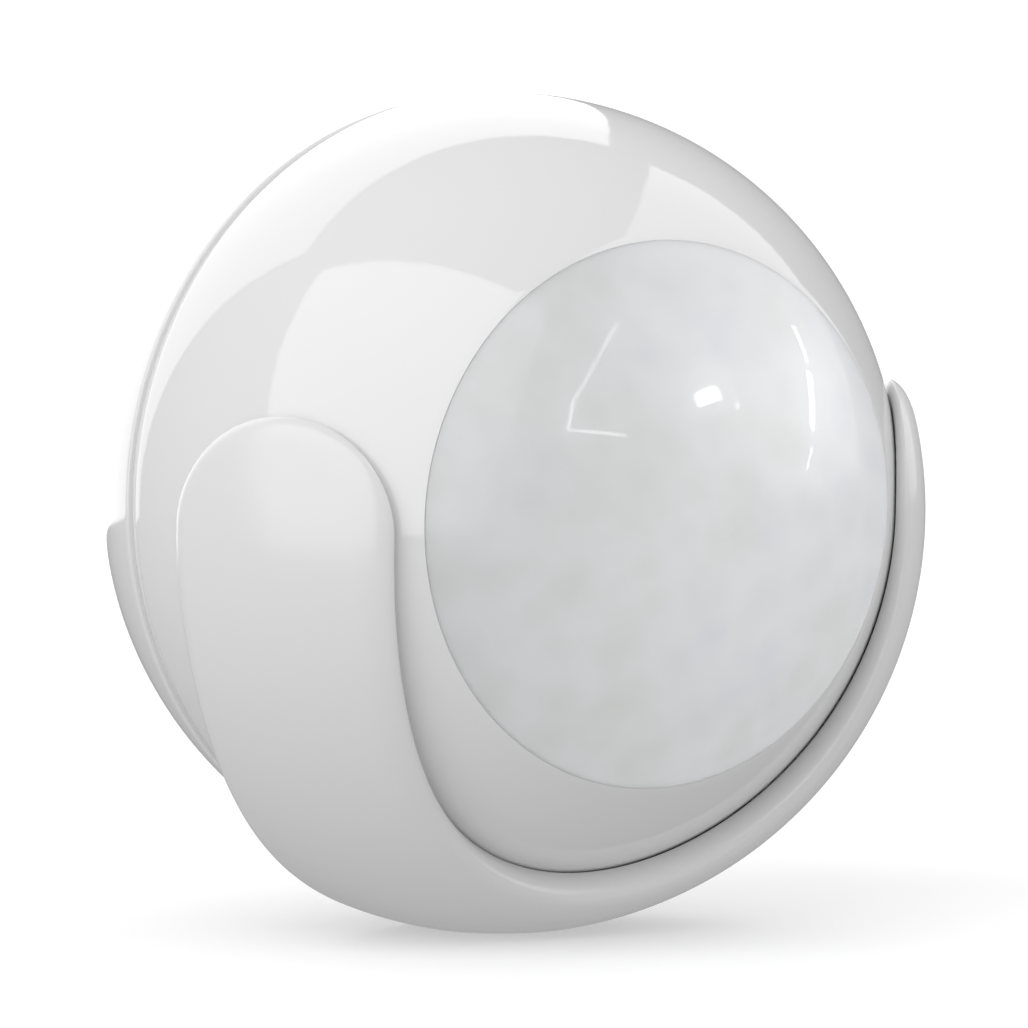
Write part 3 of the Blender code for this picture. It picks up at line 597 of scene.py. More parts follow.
def wire(points, radius):
    """A round wire along points, with filled ends."""
    curve = bpy.data.curves.new("helper", 'CURVE')
    curve.dimensions = '3D'
    curve.bevel_depth = radius
    curve.bevel_resolution = 5
    curve.use_fill_caps = True
    spline = curve.splines.new('POLY')
    spline.points.add(len(points) - 1)
    for point, place in zip(spline.points, points):
        point.co = (*place, 1.0)
    obj = linked("helper", curve)
    bm = evaluated(obj)
    bpy.data.objects.remove(obj)
    bpy.data.curves.remove(curve)
    bmesh.ops.remove_doubles(bm, verts=bm.verts, dist=MERGE)
    bmesh.ops.recalc_face_normals(bm, faces=bm.faces)
    return bm


def rounded(points, radius, steps=5):
    """A turned profile's points with its inner corners rounded."""
    result = [points[0]]
    for before, corner, after in zip(points, points[1:], points[2:]):
        corner = Vector(corner)
        to_before, to_after = Vector(before) - corner, Vector(after) - corner
        reach = min(radius, 0.45 * to_before.length, 0.45 * to_after.length)
        start = corner + to_before.normalized() * reach
        end = corner + to_after.normalized() * reach
        for i in range(steps + 1):
            t = i / steps
            result.append(tuple(start.lerp(corner, t).lerp(corner.lerp(end, t), t)))
    return result + [points[-1]]


def turned_solid(points, corner, segments):
    """A solid turned from a profile whose corners are rounded."""
    return turned(rounded(points, corner), closed=False, segments=segments)


def combine(bm, tool, operation):
    """Join or cut one closed shape with another and return the result."""
    body, cutter = (linked("helper", as_mesh("helper", shape)) for shape in (bm, tool))
    modifier = body.modifiers.new("combine", 'BOOLEAN')
    modifier.operation = operation
    modifier.solver = 'EXACT'
    modifier.object = cutter
    result = evaluated(body)
    for obj in (body, cutter):
        mesh = obj.data
        bpy.data.objects.remove(obj)
        bpy.data.meshes.remove(mesh)
    return result


def make_piece(name, bm, material, body, slot, *nodes, in_ball=True, sharp_deg=35):
    """Finish a shape as a piece that rides on a body and stands for its nodes."""
    if in_ball:
        bmesh.ops.transform(bm, matrix=BALL_FRAME, verts=bm.verts)
    bmesh.ops.remove_doubles(bm, verts=bm.verts, dist=MERGE)
    mesh = as_mesh(name, bm)
    mesh.shade_smooth()
    mesh.set_sharp_from_angle(angle=math.radians(sharp_deg))
    mesh.materials.append(material)
    obj = linked(name, mesh)
    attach(obj, body)
    if nodes:
        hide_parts(*nodes)
    return obj


# ---- cradle -----------------------------------------------------------------
class CradleForm:
    """The saddle's surface: a strap with rounded ends laid over two spheres."""
    ROWS = 96               # from underneath to the centre of a tip
    TIP_ROWS = 20           # from there to the tip's top
    COLUMNS = 44            # from the rear edge to the front edge
    OUTER_STEPS = 8         # round the outer edge
    WALL_STEPS = 2          # straight through the wall
    INNER_STEPS = 7         # down the inner bevel
    ROUNDS = 14             # repeats that settle a point between the strap's edges
    MOST_SINK = 0.6         # most of the wall that the outer rounding takes
    STRAIGHT_SHARE = 0.08   # share of what is left that runs straight through the wall
    BEVEL_POWER = 1.3       # how hollow the inner bevel is

    def __init__(self, sizes):
        self.sizes = sizes
        self.socket = BALL_RADIUS + sizes.socket_gap
        self.outer = self.socket + sizes.arm_wall

    def front_edge(self, height):
        """Forward distance of the front edge seen from the side."""
        s = self.sizes
        drop = min(height + s.tip_drop, 0.0)
        return s.tip_forward + s.half_width - s.front_radius + chord(s.front_radius, drop)

    def rear_edge(self, height):
        """Forward distance of the rear edge seen from the side."""
        s = self.sizes
        drop = max(-height - s.tip_drop - s.rear_start, 0.0)
        return s.tip_forward - s.half_width - s.rear_sweep * (drop / s.rear_drop) ** s.rear_power

    def on_strap(self, radius, drop, share, across, inset):
        """A point on the strap: share runs from 0 underneath to 1 at the tip's centre."""
        s = self.sizes
        forward = s.tip_forward
        for _ in range(self.ROUNDS):
            reach = chord(radius, forward)
            turn = share * math.acos((s.tip_drop - drop) / reach)
            height = -drop - reach * math.cos(turn)
            rear = self.rear_edge(height) + inset
            front = self.front_edge(height) - inset
            forward = (rear + front) / 2 + across * (front - rear) / 2
        reach = chord(radius, forward)
        return Vector((reach * math.sin(turn), -forward, -drop - reach * math.cos(turn)))

    def on_tip(self, radius, drop, rise, across, inset):
        """A point on the rounded end: rise runs from 0 at its centre to 1 at the top."""
        s = self.sizes
        half = s.half_width - inset
        forward = s.tip_forward + half * across * math.sqrt(1 - rise ** 2 / 2)
        height = -s.tip_drop + half * rise * math.sqrt(1 - across ** 2 / 2)
        side = math.sqrt(radius ** 2 - forward ** 2 - (height + drop) ** 2)
        return Vector((side, -forward, height))

    def on_sphere(self, radius, drop, along, across, inset):
        """A point by its place along the whole strap, from -1 to 1."""
        rows = abs(along) * (self.ROWS + self.TIP_ROWS)
        if rows <= self.ROWS + 1e-6:
            place = self.on_strap(radius, drop, min(rows / self.ROWS, 1.0), across, inset)
        else:
            place = self.on_tip(radius, drop, (rows - self.ROWS) / self.TIP_ROWS, across, inset)
        if along < 0:
            place.x = -place.x
        return place

    def bevel_reach(self, along):
        """Depth of the inner bevel, in keeping with the wall's thickness there."""
        s = self.sizes
        rows = min(abs(along) * (self.ROWS + self.TIP_ROWS) / self.ROWS, 1.0)
        left = s.arm_wall - s.outer_sink
        share = (left + s.foot_extra * math.cos(rows * math.pi / 2)) / (left + s.foot_extra)
        return s.inner_bevel * share

    def rim(self, step, along):
        """Inset, and shares of the outer rounding and the inner bevel sunk, at a step."""
        if step <= self.OUTER_STEPS:
            turn = step / self.OUTER_STEPS * math.pi / 2
            return self.sizes.outer_fillet * (1 - math.sin(turn)), 1 - math.cos(turn), 0.0
        last = self.OUTER_STEPS + self.WALL_STEPS
        if step <= last:
            return 0.0, 1.0, (step - self.OUTER_STEPS) / self.WALL_STEPS
        share = (step - last) / self.INNER_STEPS
        return self.bevel_reach(along) * share ** self.BEVEL_POWER, 1.0, 1.0 + share

    def place(self, along, across, step):
        """A point of the solid: step 0 is the outside, the last step the socket."""
        inset, sunk, beyond = self.rim(step, along)
        outside = self.on_sphere(self.outer, self.sizes.foot_extra, along, across, inset)
        inside = self.on_sphere(self.socket, 0.0, along, across, inset)
        wall = (inside - outside).length
        near = min(self.sizes.outer_sink, self.MOST_SINK * wall)
        far = near + self.STRAIGHT_SHARE * (wall - near)
        depth = near * sunk
        if beyond > 0:
            depth = near + (far - near) * min(beyond, 1.0)
        if beyond > 1:
            depth = far + (wall - far) * (beyond - 1.0)
        return outside.lerp(inside, depth / wall)


class SENSOR_OT_cradle(bpy.types.Operator):
    """Model the saddle cradle"""
    bl_idname = "sensor.cradle"
    bl_label = "Cradle"

    def execute(self, context):
        scene = context.scene
        form = CradleForm(scene.sensor_cradle)
        steps = form.OUTER_STEPS + form.WALL_STEPS + form.INNER_STEPS
        bm = bmesh.new()
        bmesh.ops.create_grid(bm, x_segments=2 * (form.ROWS + form.TIP_ROWS),
                              y_segments=form.COLUMNS, size=1.0)
        lifted = bmesh.ops.extrude_face_region(bm, geom=bm.faces[:], use_keep_orig=True)
        top = [item for item in lifted["geom"] if isinstance(item, bmesh.types.BMVert)]
        bmesh.ops.translate(bm, vec=(0, 0, 1), verts=top)
        risers = [edge for edge in bm.edges
                  if abs(edge.verts[0].co.z - edge.verts[1].co.z) > 0.5]
        bmesh.ops.subdivide_edges(bm, edges=risers, cuts=steps - 1, use_grid_fill=True)
        for vert in bm.verts:
            along, across, level = vert.co
            vert.co = CENTRE + form.place(along, across, round(level * steps))
        bmesh.ops.recalc_face_normals(bm, faces=bm.faces)
        cut = bmesh.ops.bisect_plane(bm, geom=bm.verts[:] + bm.edges[:] + bm.faces[:],
                                     plane_co=(0, 0, 0), plane_no=(0, 0, -1), clear_outer=True)
        rim = [item for item in cut["geom_cut"] if isinstance(item, bmesh.types.BMEdge)]
        bmesh.ops.edgeloop_fill(bm, edges=rim)
        bmesh.ops.recalc_face_normals(bm, faces=bm.faces)
        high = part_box("adhesive_pad")[1]
        clearance = scene.sensor_shell.fit_gap
        pocket = rod(high.x + clearance, (0, 0, -MM), (0, 0, high.z + clearance), 96)
        bm = combine(bm, pocket, 'DIFFERENCE')
        material = gloss_plastic("cradle_white", scene.sensor_finish.cradle, 0.17, 1.4)
        make_piece("cradle_moulding", bm, material, "cradle", "cradle_white", "cradle",
                   in_ball=False, sharp_deg=40)
        return {'FINISHED'}


class SENSOR_OT_pad(bpy.types.Operator):
    """Model the adhesive foam disc"""
    bl_idname = "sensor.pad"
    bl_label = "Adhesive Pad"

    def execute(self, context):
        low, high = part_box("adhesive_pad")
        disc = rod(high.x, (0, 0, low.z), (0, 0, high.z), 96, 0.08 * MM)
        material = foam_tape("grey_foam", context.scene.sensor_finish.foam)
        pad = make_piece("adhesive_disc", disc, material, "cradle", "foam_grey", "adhesive_pad",
                         in_ball=False)
        return {'FINISHED'}


# ---- ball -------------------------------------------------------------------
def screw_axes():
    """Middle of each screw across the ball, with its rear and front ends."""
    for name in SCREWS:
        low, high = ball_box(name)
        yield *middle_of(low, high), low.z, high.z


def drilled(bm, scene, rear, front):
    """The shape with the three screw holes drilled in it."""
    radius = scene.sensor_screw.shank_radius + scene.sensor_inner.screw_clearance
    holes = [rod(radius, (x, y, rear), (x, y, front)) for x, y, _, _ in screw_axes()]
    return combine(bm, together(*holes), 'DIFFERENCE')


class ShellForm:
    """Radii and angles that the ball's pieces share."""

    def __init__(self, sizes):
        s = sizes
        self.inner = BALL_RADIUS - s.wall
        self.outer_seam = math.acos(-s.seam_setback / BALL_RADIUS)
        self.inner_seam = math.acos(-s.seam_setback / self.inner)
        self.opening = math.asin(s.opening_radius / BALL_RADIUS)
        self.seat = BALL_RADIUS - s.opening_wall
        self.seat_end = self.opening + s.flange_width / self.seat
        self.flange_front = self.seat - s.fit_gap
        self.flange_back = self.flange_front - s.lens_wall
        self.gap_angle = s.fit_gap / self.inner


def on_outside(edge):
    """Whether an edge lies on the ball's outer sphere."""
    middle = (edge.verts[0].co + edge.verts[1].co) / 2
    return abs(middle.length - BALL_RADIUS) < ON_SPHERE


class SENSOR_OT_front_shell(bpy.types.Operator):
    """Model the front half of the ball"""
    bl_idname = "sensor.front_shell"
    bl_label = "Front Shell"

    def execute(self, context):
        scene = context.scene
        s = scene.sensor_shell
        form = ShellForm(s)
        profile = arc(BALL_RADIUS, form.opening, form.outer_seam)
        profile += arc(form.inner, form.inner_seam, form.seat_end)
        profile += arc(form.seat, form.seat_end, form.opening)
        bm = turned(profile)
        for width, steps, side in ((s.opening_round, 3, 1), (s.seam_round, 4, -1)):
            soften(bm, width, steps,
                   only=lambda edge: side * edge.verts[0].co.z > 0 and on_outside(edge))
        inner = scene.sensor_inner
        board_front = ball_box("sensor_board")[1].z
        posts = []
        for x, y, _, _ in screw_axes():
            top = chord(form.inner, math.hypot(x, y) + inner.post_radius) + inner.post_embed
            posts.append(rod(inner.post_radius, (x, y, board_front + s.fit_gap), (x, y, top), 64))
        bm = combine(bm, together(*posts), 'UNION')
        bm = drilled(bm, scene, board_front, ball_box(SCREWS[0])[1].z + s.fit_gap)
        material = gloss_plastic("shell_white", scene.sensor_finish.shell)
        make_piece("front_shell_moulding", bm, material, "ball", "shell_white", "front_shell")
        return {'FINISHED'}


def facet_bulge(x, y, pitch):
    """Bulge of the facet at a place across the lens, from 0 at its edge to 1 in its middle."""
    rise = pitch * math.sqrt(3)
    nearest = min(
        (x - dx - pitch * round((x - dx) / pitch)) ** 2
        + (y - dy - rise * round((y - dy) / rise)) ** 2
        for dx, dy in ((0.0, 0.0), (pitch / 2, rise / 2)))
    return max(0.0, 1.0 - 3.0 * nearest / pitch ** 2)


class SENSOR_OT_lens(bpy.types.Operator):
    """Model the faceted lens"""
    bl_idname = "sensor.lens"
    bl_label = "Lens"

    def execute(self, context):
        scene = context.scene
        s = scene.sensor_shell
        form = ShellForm(s)
        rim = form.opening - s.lens_line / BALL_RADIUS
        dome_inside = rim - s.lens_wall / BALL_RADIUS
        flange_end = form.seat_end - form.gap_angle
        fine = math.radians(0.8)
        back = BALL_RADIUS - s.lens_wall
        profile = arc(BALL_RADIUS, 0, rim, fine)
        profile += arc(form.flange_front, rim, flange_end)
        profile += arc(form.flange_back, flange_end, dome_inside)
        profile += arc(back, dome_inside, 0, fine)
        bm = turned(profile, closed=False)
        edge = back * math.cos(dome_inside)
        for vert in bm.verts:
            if abs(vert.co.length - back) < ON_SPHERE / 10 and vert.co.z > edge + s.fit_gap:
                depth = s.facet_depth * facet_bulge(vert.co.x, vert.co.y, s.facet_pitch)
                vert.co *= 1.0 - depth / back
        finish = scene.sensor_finish
        material = milky_lens("milky_lens", finish.lens, finish.lens_cool, finish.lens_cloud)
        make_piece("lens_dome", bm, material, "ball", "lens_milky", "fresnel_lens")
        return {'FINISHED'}


class SENSOR_OT_rear_cover(bpy.types.Operator):
    """Model the rear cover"""
    bl_idname = "sensor.rear_cover"
    bl_label = "Rear Cover"

    def execute(self, context):
        scene = context.scene
        s = scene.sensor_shell
        form = ShellForm(s)
        rim_z = -(s.seam_setback + s.seam_width)
        lip_outer = chord(form.inner, s.seam_setback) - s.fit_gap
        lip_inner = lip_outer - s.lip_wall
        lip_front = s.lip_length - s.seam_setback
        profile = arc(BALL_RADIUS, math.pi, math.acos(rim_z / BALL_RADIUS))
        band = chord(BALL_RADIUS, rim_z) - s.seam_depth
        band_front = -(s.seam_setback + s.seam_line)
        profile += [(band, rim_z), (band, band_front), (lip_outer, band_front),
                    (lip_outer, lip_front), (lip_inner, lip_front)]
        profile += arc(form.inner, math.pi - math.asin(lip_inner / form.inner), math.pi)
        bm = turned(profile, closed=False)
        soften(bm, s.seam_round, 4, only=on_outside)
        inner = scene.sensor_inner
        cell_rear = ball_box("battery_cell")[0].z - s.fit_gap
        root = -chord(form.inner, inner.saddle_spread) - inner.rib_embed
        ribs = [block((x - inner.rib_half, -inner.rib_reach, root),
                      (x + inner.rib_half, inner.rib_reach, cell_rear), inner.edge, 3)
                for x in (-inner.saddle_spread, inner.saddle_spread)]
        bm = combine(bm, together(*ribs), 'UNION')
        material = gloss_plastic("cover_white", scene.sensor_finish.shell)
        make_piece("rear_cover_moulding", bm, material, "rear_cover", "shell_white", "rear_cover")
        return {'FINISHED'}


# ---- inside the ball --------------------------------------------------------
class SENSOR_OT_lens_ring(bpy.types.Operator):
    """Model the ring that holds the lens from behind"""
    bl_idname = "sensor.lens_ring"
    bl_label = "Lens Ring"
    NOTCHES = 6

    def execute(self, context):
        scene = context.scene
        s = scene.sensor_shell
        form = ShellForm(s)
        front = form.flange_back - s.fit_gap
        step = form.seat_end + form.gap_angle
        end = step + s.ring_skirt / form.inner
        profile = arc(front, form.opening, step)
        profile += arc(form.inner - s.fit_gap, step, end)
        profile += arc(front - s.ring_wall, end, form.opening)
        bm = turned(profile, segments=192)
        # each notch's cutter starts inside the ring and ends clear of it
        depth = form.inner * math.cos(end)
        reach = form.inner * math.sin(end)
        half = s.notch_width / 2
        notches = []
        for index in range(self.NOTCHES):
            notch = block((reach - 3 * MM, -half, depth - 2 * MM),
                          (reach + MM, half, depth + s.notch_depth))
            notches.append(swung(notch, index * 2 * math.pi / self.NOTCHES))
        bm = combine(bm, together(*notches), 'DIFFERENCE')
        material = satin_plastic("ring_white", scene.sensor_finish.moulding)
        make_piece("lens_retaining_ring", bm, material, "ball", "moulding_white", "lens_ring")
        return {'FINISHED'}


class SENSOR_OT_chassis(bpy.types.Operator):
    """Model the chassis with the cell's saddles and the contact walls"""
    bl_idname = "sensor.chassis"
    bl_label = "Chassis"

    def execute(self, context):
        scene = context.scene
        s, inner = scene.sensor_shell, scene.sensor_inner
        low, high = ball_box("chassis")
        cell_low, cell_high = ball_box("battery_cell")
        front, rear = high.z, high.z - inner.floor
        seat = rear + inner.floor / 2
        room = (cell_high.y - cell_low.y) / 2 + inner.cell_clearance
        middle = (cell_low.z + cell_high.z) / 2
        bm = rod(high.y, (0, 0, rear), (0, 0, front), 192, inner.edge)
        solids, slots = [], []
        shoulder = room + inner.saddle_shoulder
        half_slot = inner.tail_half + s.fit_gap
        for side, node in zip((-1, 1), CONTACTS):
            x = side * inner.saddle_spread
            solids.append(block((x - inner.saddle_width / 2, -shoulder, rear - inner.saddle_depth),
                                (x + inner.saddle_width / 2, shoulder, seat), inner.edge, 3))
            blade_low, blade_high = ball_box(node)
            near = max(abs(blade_low.x), abs(blade_high.x)) + s.fit_gap
            depth = min(inner.end_wall_depth, rear - low.z)
            ends = sorted((side * near, side * (near + inner.end_wall)))
            solids.append(block((ends[0], -inner.end_wall_half, rear - depth),
                                (ends[1], inner.end_wall_half, seat), inner.edge, 3))
            ends = sorted((side * (near - half_slot), side * near))
            slots.append(block((ends[0], -half_slot, rear - s.fit_gap / 2),
                               (ends[1], half_slot, front + MM)))
        bm = combine(bm, together(*solids), 'UNION')
        groove = rod(room, (cell_low.x - 4 * s.fit_gap, 0, middle),
                     (cell_high.x + s.fit_gap, 0, middle), 128)
        bm = combine(bm, groove, 'DIFFERENCE')
        body_low, body_high = ball_box("switch_body")
        slots.append(block((body_low.x - s.fit_gap, body_low.y - s.fit_gap, rear - MM),
                           (body_high.x + s.fit_gap, body_high.y + s.fit_gap, front + MM)))
        bm = combine(bm, together(*slots), 'DIFFERENCE')
        bm = drilled(bm, scene, rear - MM, front + MM)
        material = satin_plastic("chassis_white", scene.sensor_finish.moulding)
        make_piece("chassis_moulding", bm, material, "ball", "moulding_white", "chassis")
        return {'FINISHED'}


class SENSOR_OT_contacts(bpy.types.Operator):
    """Model the two contact blades and the spring"""
    bl_idname = "sensor.contacts"
    bl_label = "Contacts"

    def blade(self, context, name, node):
        """A stamped blade with rounded corners, a tail and a locating hole."""
        inner = context.scene.sensor_inner
        low, high = ball_box(node)
        top = ball_box("chassis")[1].z - inner.floor - context.scene.sensor_shell.fit_gap
        corner = 0.9 * MM
        hole_radius, hole_rise = 0.8 * MM, 2 * MM
        plate = block((low.x, low.y, low.z), (high.x, high.y, top))
        soften(plate, corner, 6,
               only=lambda edge: abs((edge.verts[0].co - edge.verts[1].co).normalized().x) > 0.9)
        tail = block((low.x, -inner.tail_half, top - corner), (high.x, inner.tail_half, high.z))
        bm = combine(plate, tail, 'UNION')
        hole = rod(hole_radius, (low.x - MM, 0, low.z + hole_rise),
                   (high.x + MM, 0, low.z + hole_rise))
        bm = combine(bm, hole, 'DIFFERENCE')
        soften(bm, 0.05 * MM, 2, 40)
        material = plated_metal(name + "_nickel", context.scene.sensor_finish.nickel)
        make_piece(name, bm, material, "ball", "nickel", node)

    def spring(self, context):
        """A conical spring on the negative blade."""
        inner = context.scene.sensor_inner
        low, high = ball_box("negative_spring")
        cell_low, cell_high = ball_box("battery_cell")
        middle = (cell_low.z + cell_high.z) / 2
        start, end = low.x + inner.spring_wire / 2, high.x - inner.spring_wire / 2
        steps = round(inner.spring_turns * 48)
        points = []
        for i in range(steps + 1):
            share = i / steps
            turn = share * inner.spring_turns * 2 * math.pi
            radius = inner.spring_large + share * (inner.spring_small - inner.spring_large)
            points.append((start + share * (end - start), radius * math.cos(turn),
                           middle + radius * math.sin(turn)))
        material = plated_metal("spring_nickel", context.scene.sensor_finish.nickel)
        make_piece("contact_spring", wire(points, inner.spring_wire / 2), material, "ball",
                   "nickel", "negative_spring")

    def execute(self, context):
        self.blade(context, "positive_blade", "positive_contact")
        self.blade(context, "spring_blade", "negative_blade")
        self.spring(context)
        return {'FINISHED'}


class SENSOR_OT_cell(bpy.types.Operator):
    """Model the lithium cell in its sleeve"""
    bl_idname = "sensor.cell"
    bl_label = "Cell"

    def execute(self, context):
        scene = context.scene
        inner = scene.sensor_inner
        low, high = ball_box("battery_cell")
        middle = (low.z + high.z) / 2
        radius = (high.y - low.y) / 2
        nub = ball_box("positive_contact")[0].x - scene.sensor_shell.fit_gap
        shoulder = nub - MM
        fold = 0.12 * MM
        drawn_in = radius - 0.05 * MM
        rim = radius - 1.6 * MM
        seal_in, seal_out = inner.nub_radius + 0.2 * MM, inner.nub_radius + MM
        cap, groove = shoulder - 2 * fold, shoulder - 5 * fold
        sleeve = [(rim, low.x + fold), (rim, low.x), (drawn_in, low.x), (radius, low.x + MM),
                  (radius, shoulder - MM), (drawn_in, shoulder), (rim, shoulder),
                  (rim, shoulder - fold)]
        wrap = turned(rounded(sleeve, inner.cell_edge), segments=128)
        core = [(0, low.x + fold), (rim - 0.4 * MM, low.x + fold), (rim, low.x + 2 * fold),
                (rim, cap), (seal_out + 0.1 * MM, cap), (seal_out, groove), (seal_in, groove),
                (inner.nub_radius, nub), (0, nub)]
        caps = turned_solid(core, 0.25 * MM, 128)
        turn = Matrix.Translation((0, 0, middle)) @ Matrix.Rotation(math.pi / 2, 4, 'Y')
        for bm in (wrap, caps):
            bmesh.ops.transform(bm, matrix=turn, verts=bm.verts)
        finish = scene.sensor_finish
        material = printed_sleeve("blue_sleeve", finish.sleeve, finish.sleeve_band,
                                  shoulder - 6 * MM, 5 * MM)
        make_piece("cell_wrap", wrap, material, "cell", "cell_sleeve", "battery_cell")
        make_piece("cell_can", caps, plated_metal("cell_steel", finish.steel), "cell",
                   "steel", "battery_cell")
        return {'FINISHED'}


class SENSOR_OT_screws(bpy.types.Operator):
    """Model the cross-recessed board screws"""
    bl_idname = "sensor.screws"
    bl_label = "Screws"

    def execute(self, context):
        scene = context.scene
        s = scene.sensor_screw
        root = s.shank_radius - s.thread_depth
        flank = 0.35 * s.pitch
        taper = 0.75
        material = plated_metal("zinc_steel", scene.sensor_finish.steel, 0.3)
        for name, (x, y, rear, front) in zip(SCREWS, screw_axes()):
            under, side = rear + s.head_height, rear + 0.4 * s.head_height
            profile = rounded([(0, rear), (0.7 * s.head_radius, rear), (s.head_radius, side),
                               (s.head_radius, under), (s.shank_radius, under)], 0.35 * MM)
            tip = front - s.shank_radius
            for turn in range(int((tip - under) / s.pitch)):
                crest = under + (turn + 0.5) * s.pitch
                profile += [(root, crest - flank), (s.shank_radius, crest), (root, crest + flank)]
            profile += [(root, tip), (0, front)]
            bm = turned(profile, closed=False, segments=64)
            sink = rear + 0.55 * s.head_height
            for a, b in ((s.recess_half, s.recess_reach), (s.recess_reach, s.recess_half)):
                slot = block((-a, -b, rear - MM), (a, b, sink))
                bottom = [vert for vert in slot.verts if vert.co.z > rear]
                bmesh.ops.scale(slot, vec=(taper, taper, 1.0), verts=bottom)
                bm = combine(bm, slot, 'DIFFERENCE')
            make_piece(name.replace("board_", "pan_head_"), moved(bm, x, y, 0), material,
                       "ball", "steel", name)
        return {'FINISHED'}


class SENSOR_OT_board(bpy.types.Operator):
    """Model the circuit board"""
    bl_idname = "sensor.board"
    bl_label = "Circuit Board"

    def execute(self, context):
        scene = context.scene
        gap = scene.sensor_shell.fit_gap
        half = scene.sensor_inner.tail_half + gap
        low, high = ball_box("sensor_board")
        bm = rod(high.y, (0, 0, low.z), (0, 0, high.z), 192, 0.08 * MM)
        slots = []
        for node in reversed(CONTACTS):
            tail_low, tail_high = ball_box(node)
            slots.append(block((tail_low.x - gap, -half, low.z - MM),
                               (tail_high.x + gap, half, high.z + MM)))
        bm = combine(bm, together(*slots), 'DIFFERENCE')
        bm = drilled(bm, scene, low.z - MM, high.z + MM)
        finish = scene.sensor_finish
        material = solder_mask("green_mask", finish.board, finish.board_track)
        make_piece("circuit_board", bm, material, "ball", "circuit_board", "sensor_board")
        return {'FINISHED'}


class SENSOR_OT_detector(bpy.types.Operator):
    """Model the infrared detector with its spacer and window"""
    bl_idname = "sensor.detector"
    bl_label = "Detector"

    def execute(self, context):
        scene = context.scene
        finish = scene.sensor_finish
        low, high = ball_box("pir_spacer")
        outer, inner, floor = high.y, high.y / 2, high.z - 0.3 * MM
        spacer = turned_solid([(0, low.z), (outer, low.z), (outer, high.z), (inner, high.z),
                               (inner, floor), (0, floor)], 0.15 * MM, 128)
        black = satin_plastic("spacer_black", finish.black)
        make_piece("detector_spacer", spacer, black, "ball", "moulding_black", "pir_spacer")

        low, high = ball_box("pir_sensor")
        flange, side, lip = high.y, high.y - 0.35 * MM, low.z + 0.4 * MM
        can = turned_solid([(0, low.z), (flange, low.z), (flange, lip), (side, lip),
                            (side, high.z), (0, high.z)], 0.4 * MM, 128)
        tab_half = 0.4 * MM
        tab = block((-tab_half, side - tab_half, low.z), (tab_half, flange, lip), 0.05 * MM)
        can = combine(can, swung(tab, math.pi / 4), 'UNION')
        low, high = ball_box("pir_window")
        gap = 0.12 * MM
        pocket = block((low.x - gap, low.y - gap, low.z - gap),
                       (high.x + gap, high.y + gap, high.z + MM), 0.2 * MM, 3)
        can = combine(can, pocket, 'DIFFERENCE')
        make_piece("detector_can", can, plated_metal("can_nickel", finish.nickel, 0.2), "ball",
                   "nickel", "pir_sensor")
        window = block(low, high, 0.08 * MM, 3)
        make_piece("detector_window", window, coated_filter("dark_filter", finish.filter),
                   "ball", "filter_window", "pir_window")
        return {'FINISHED'}


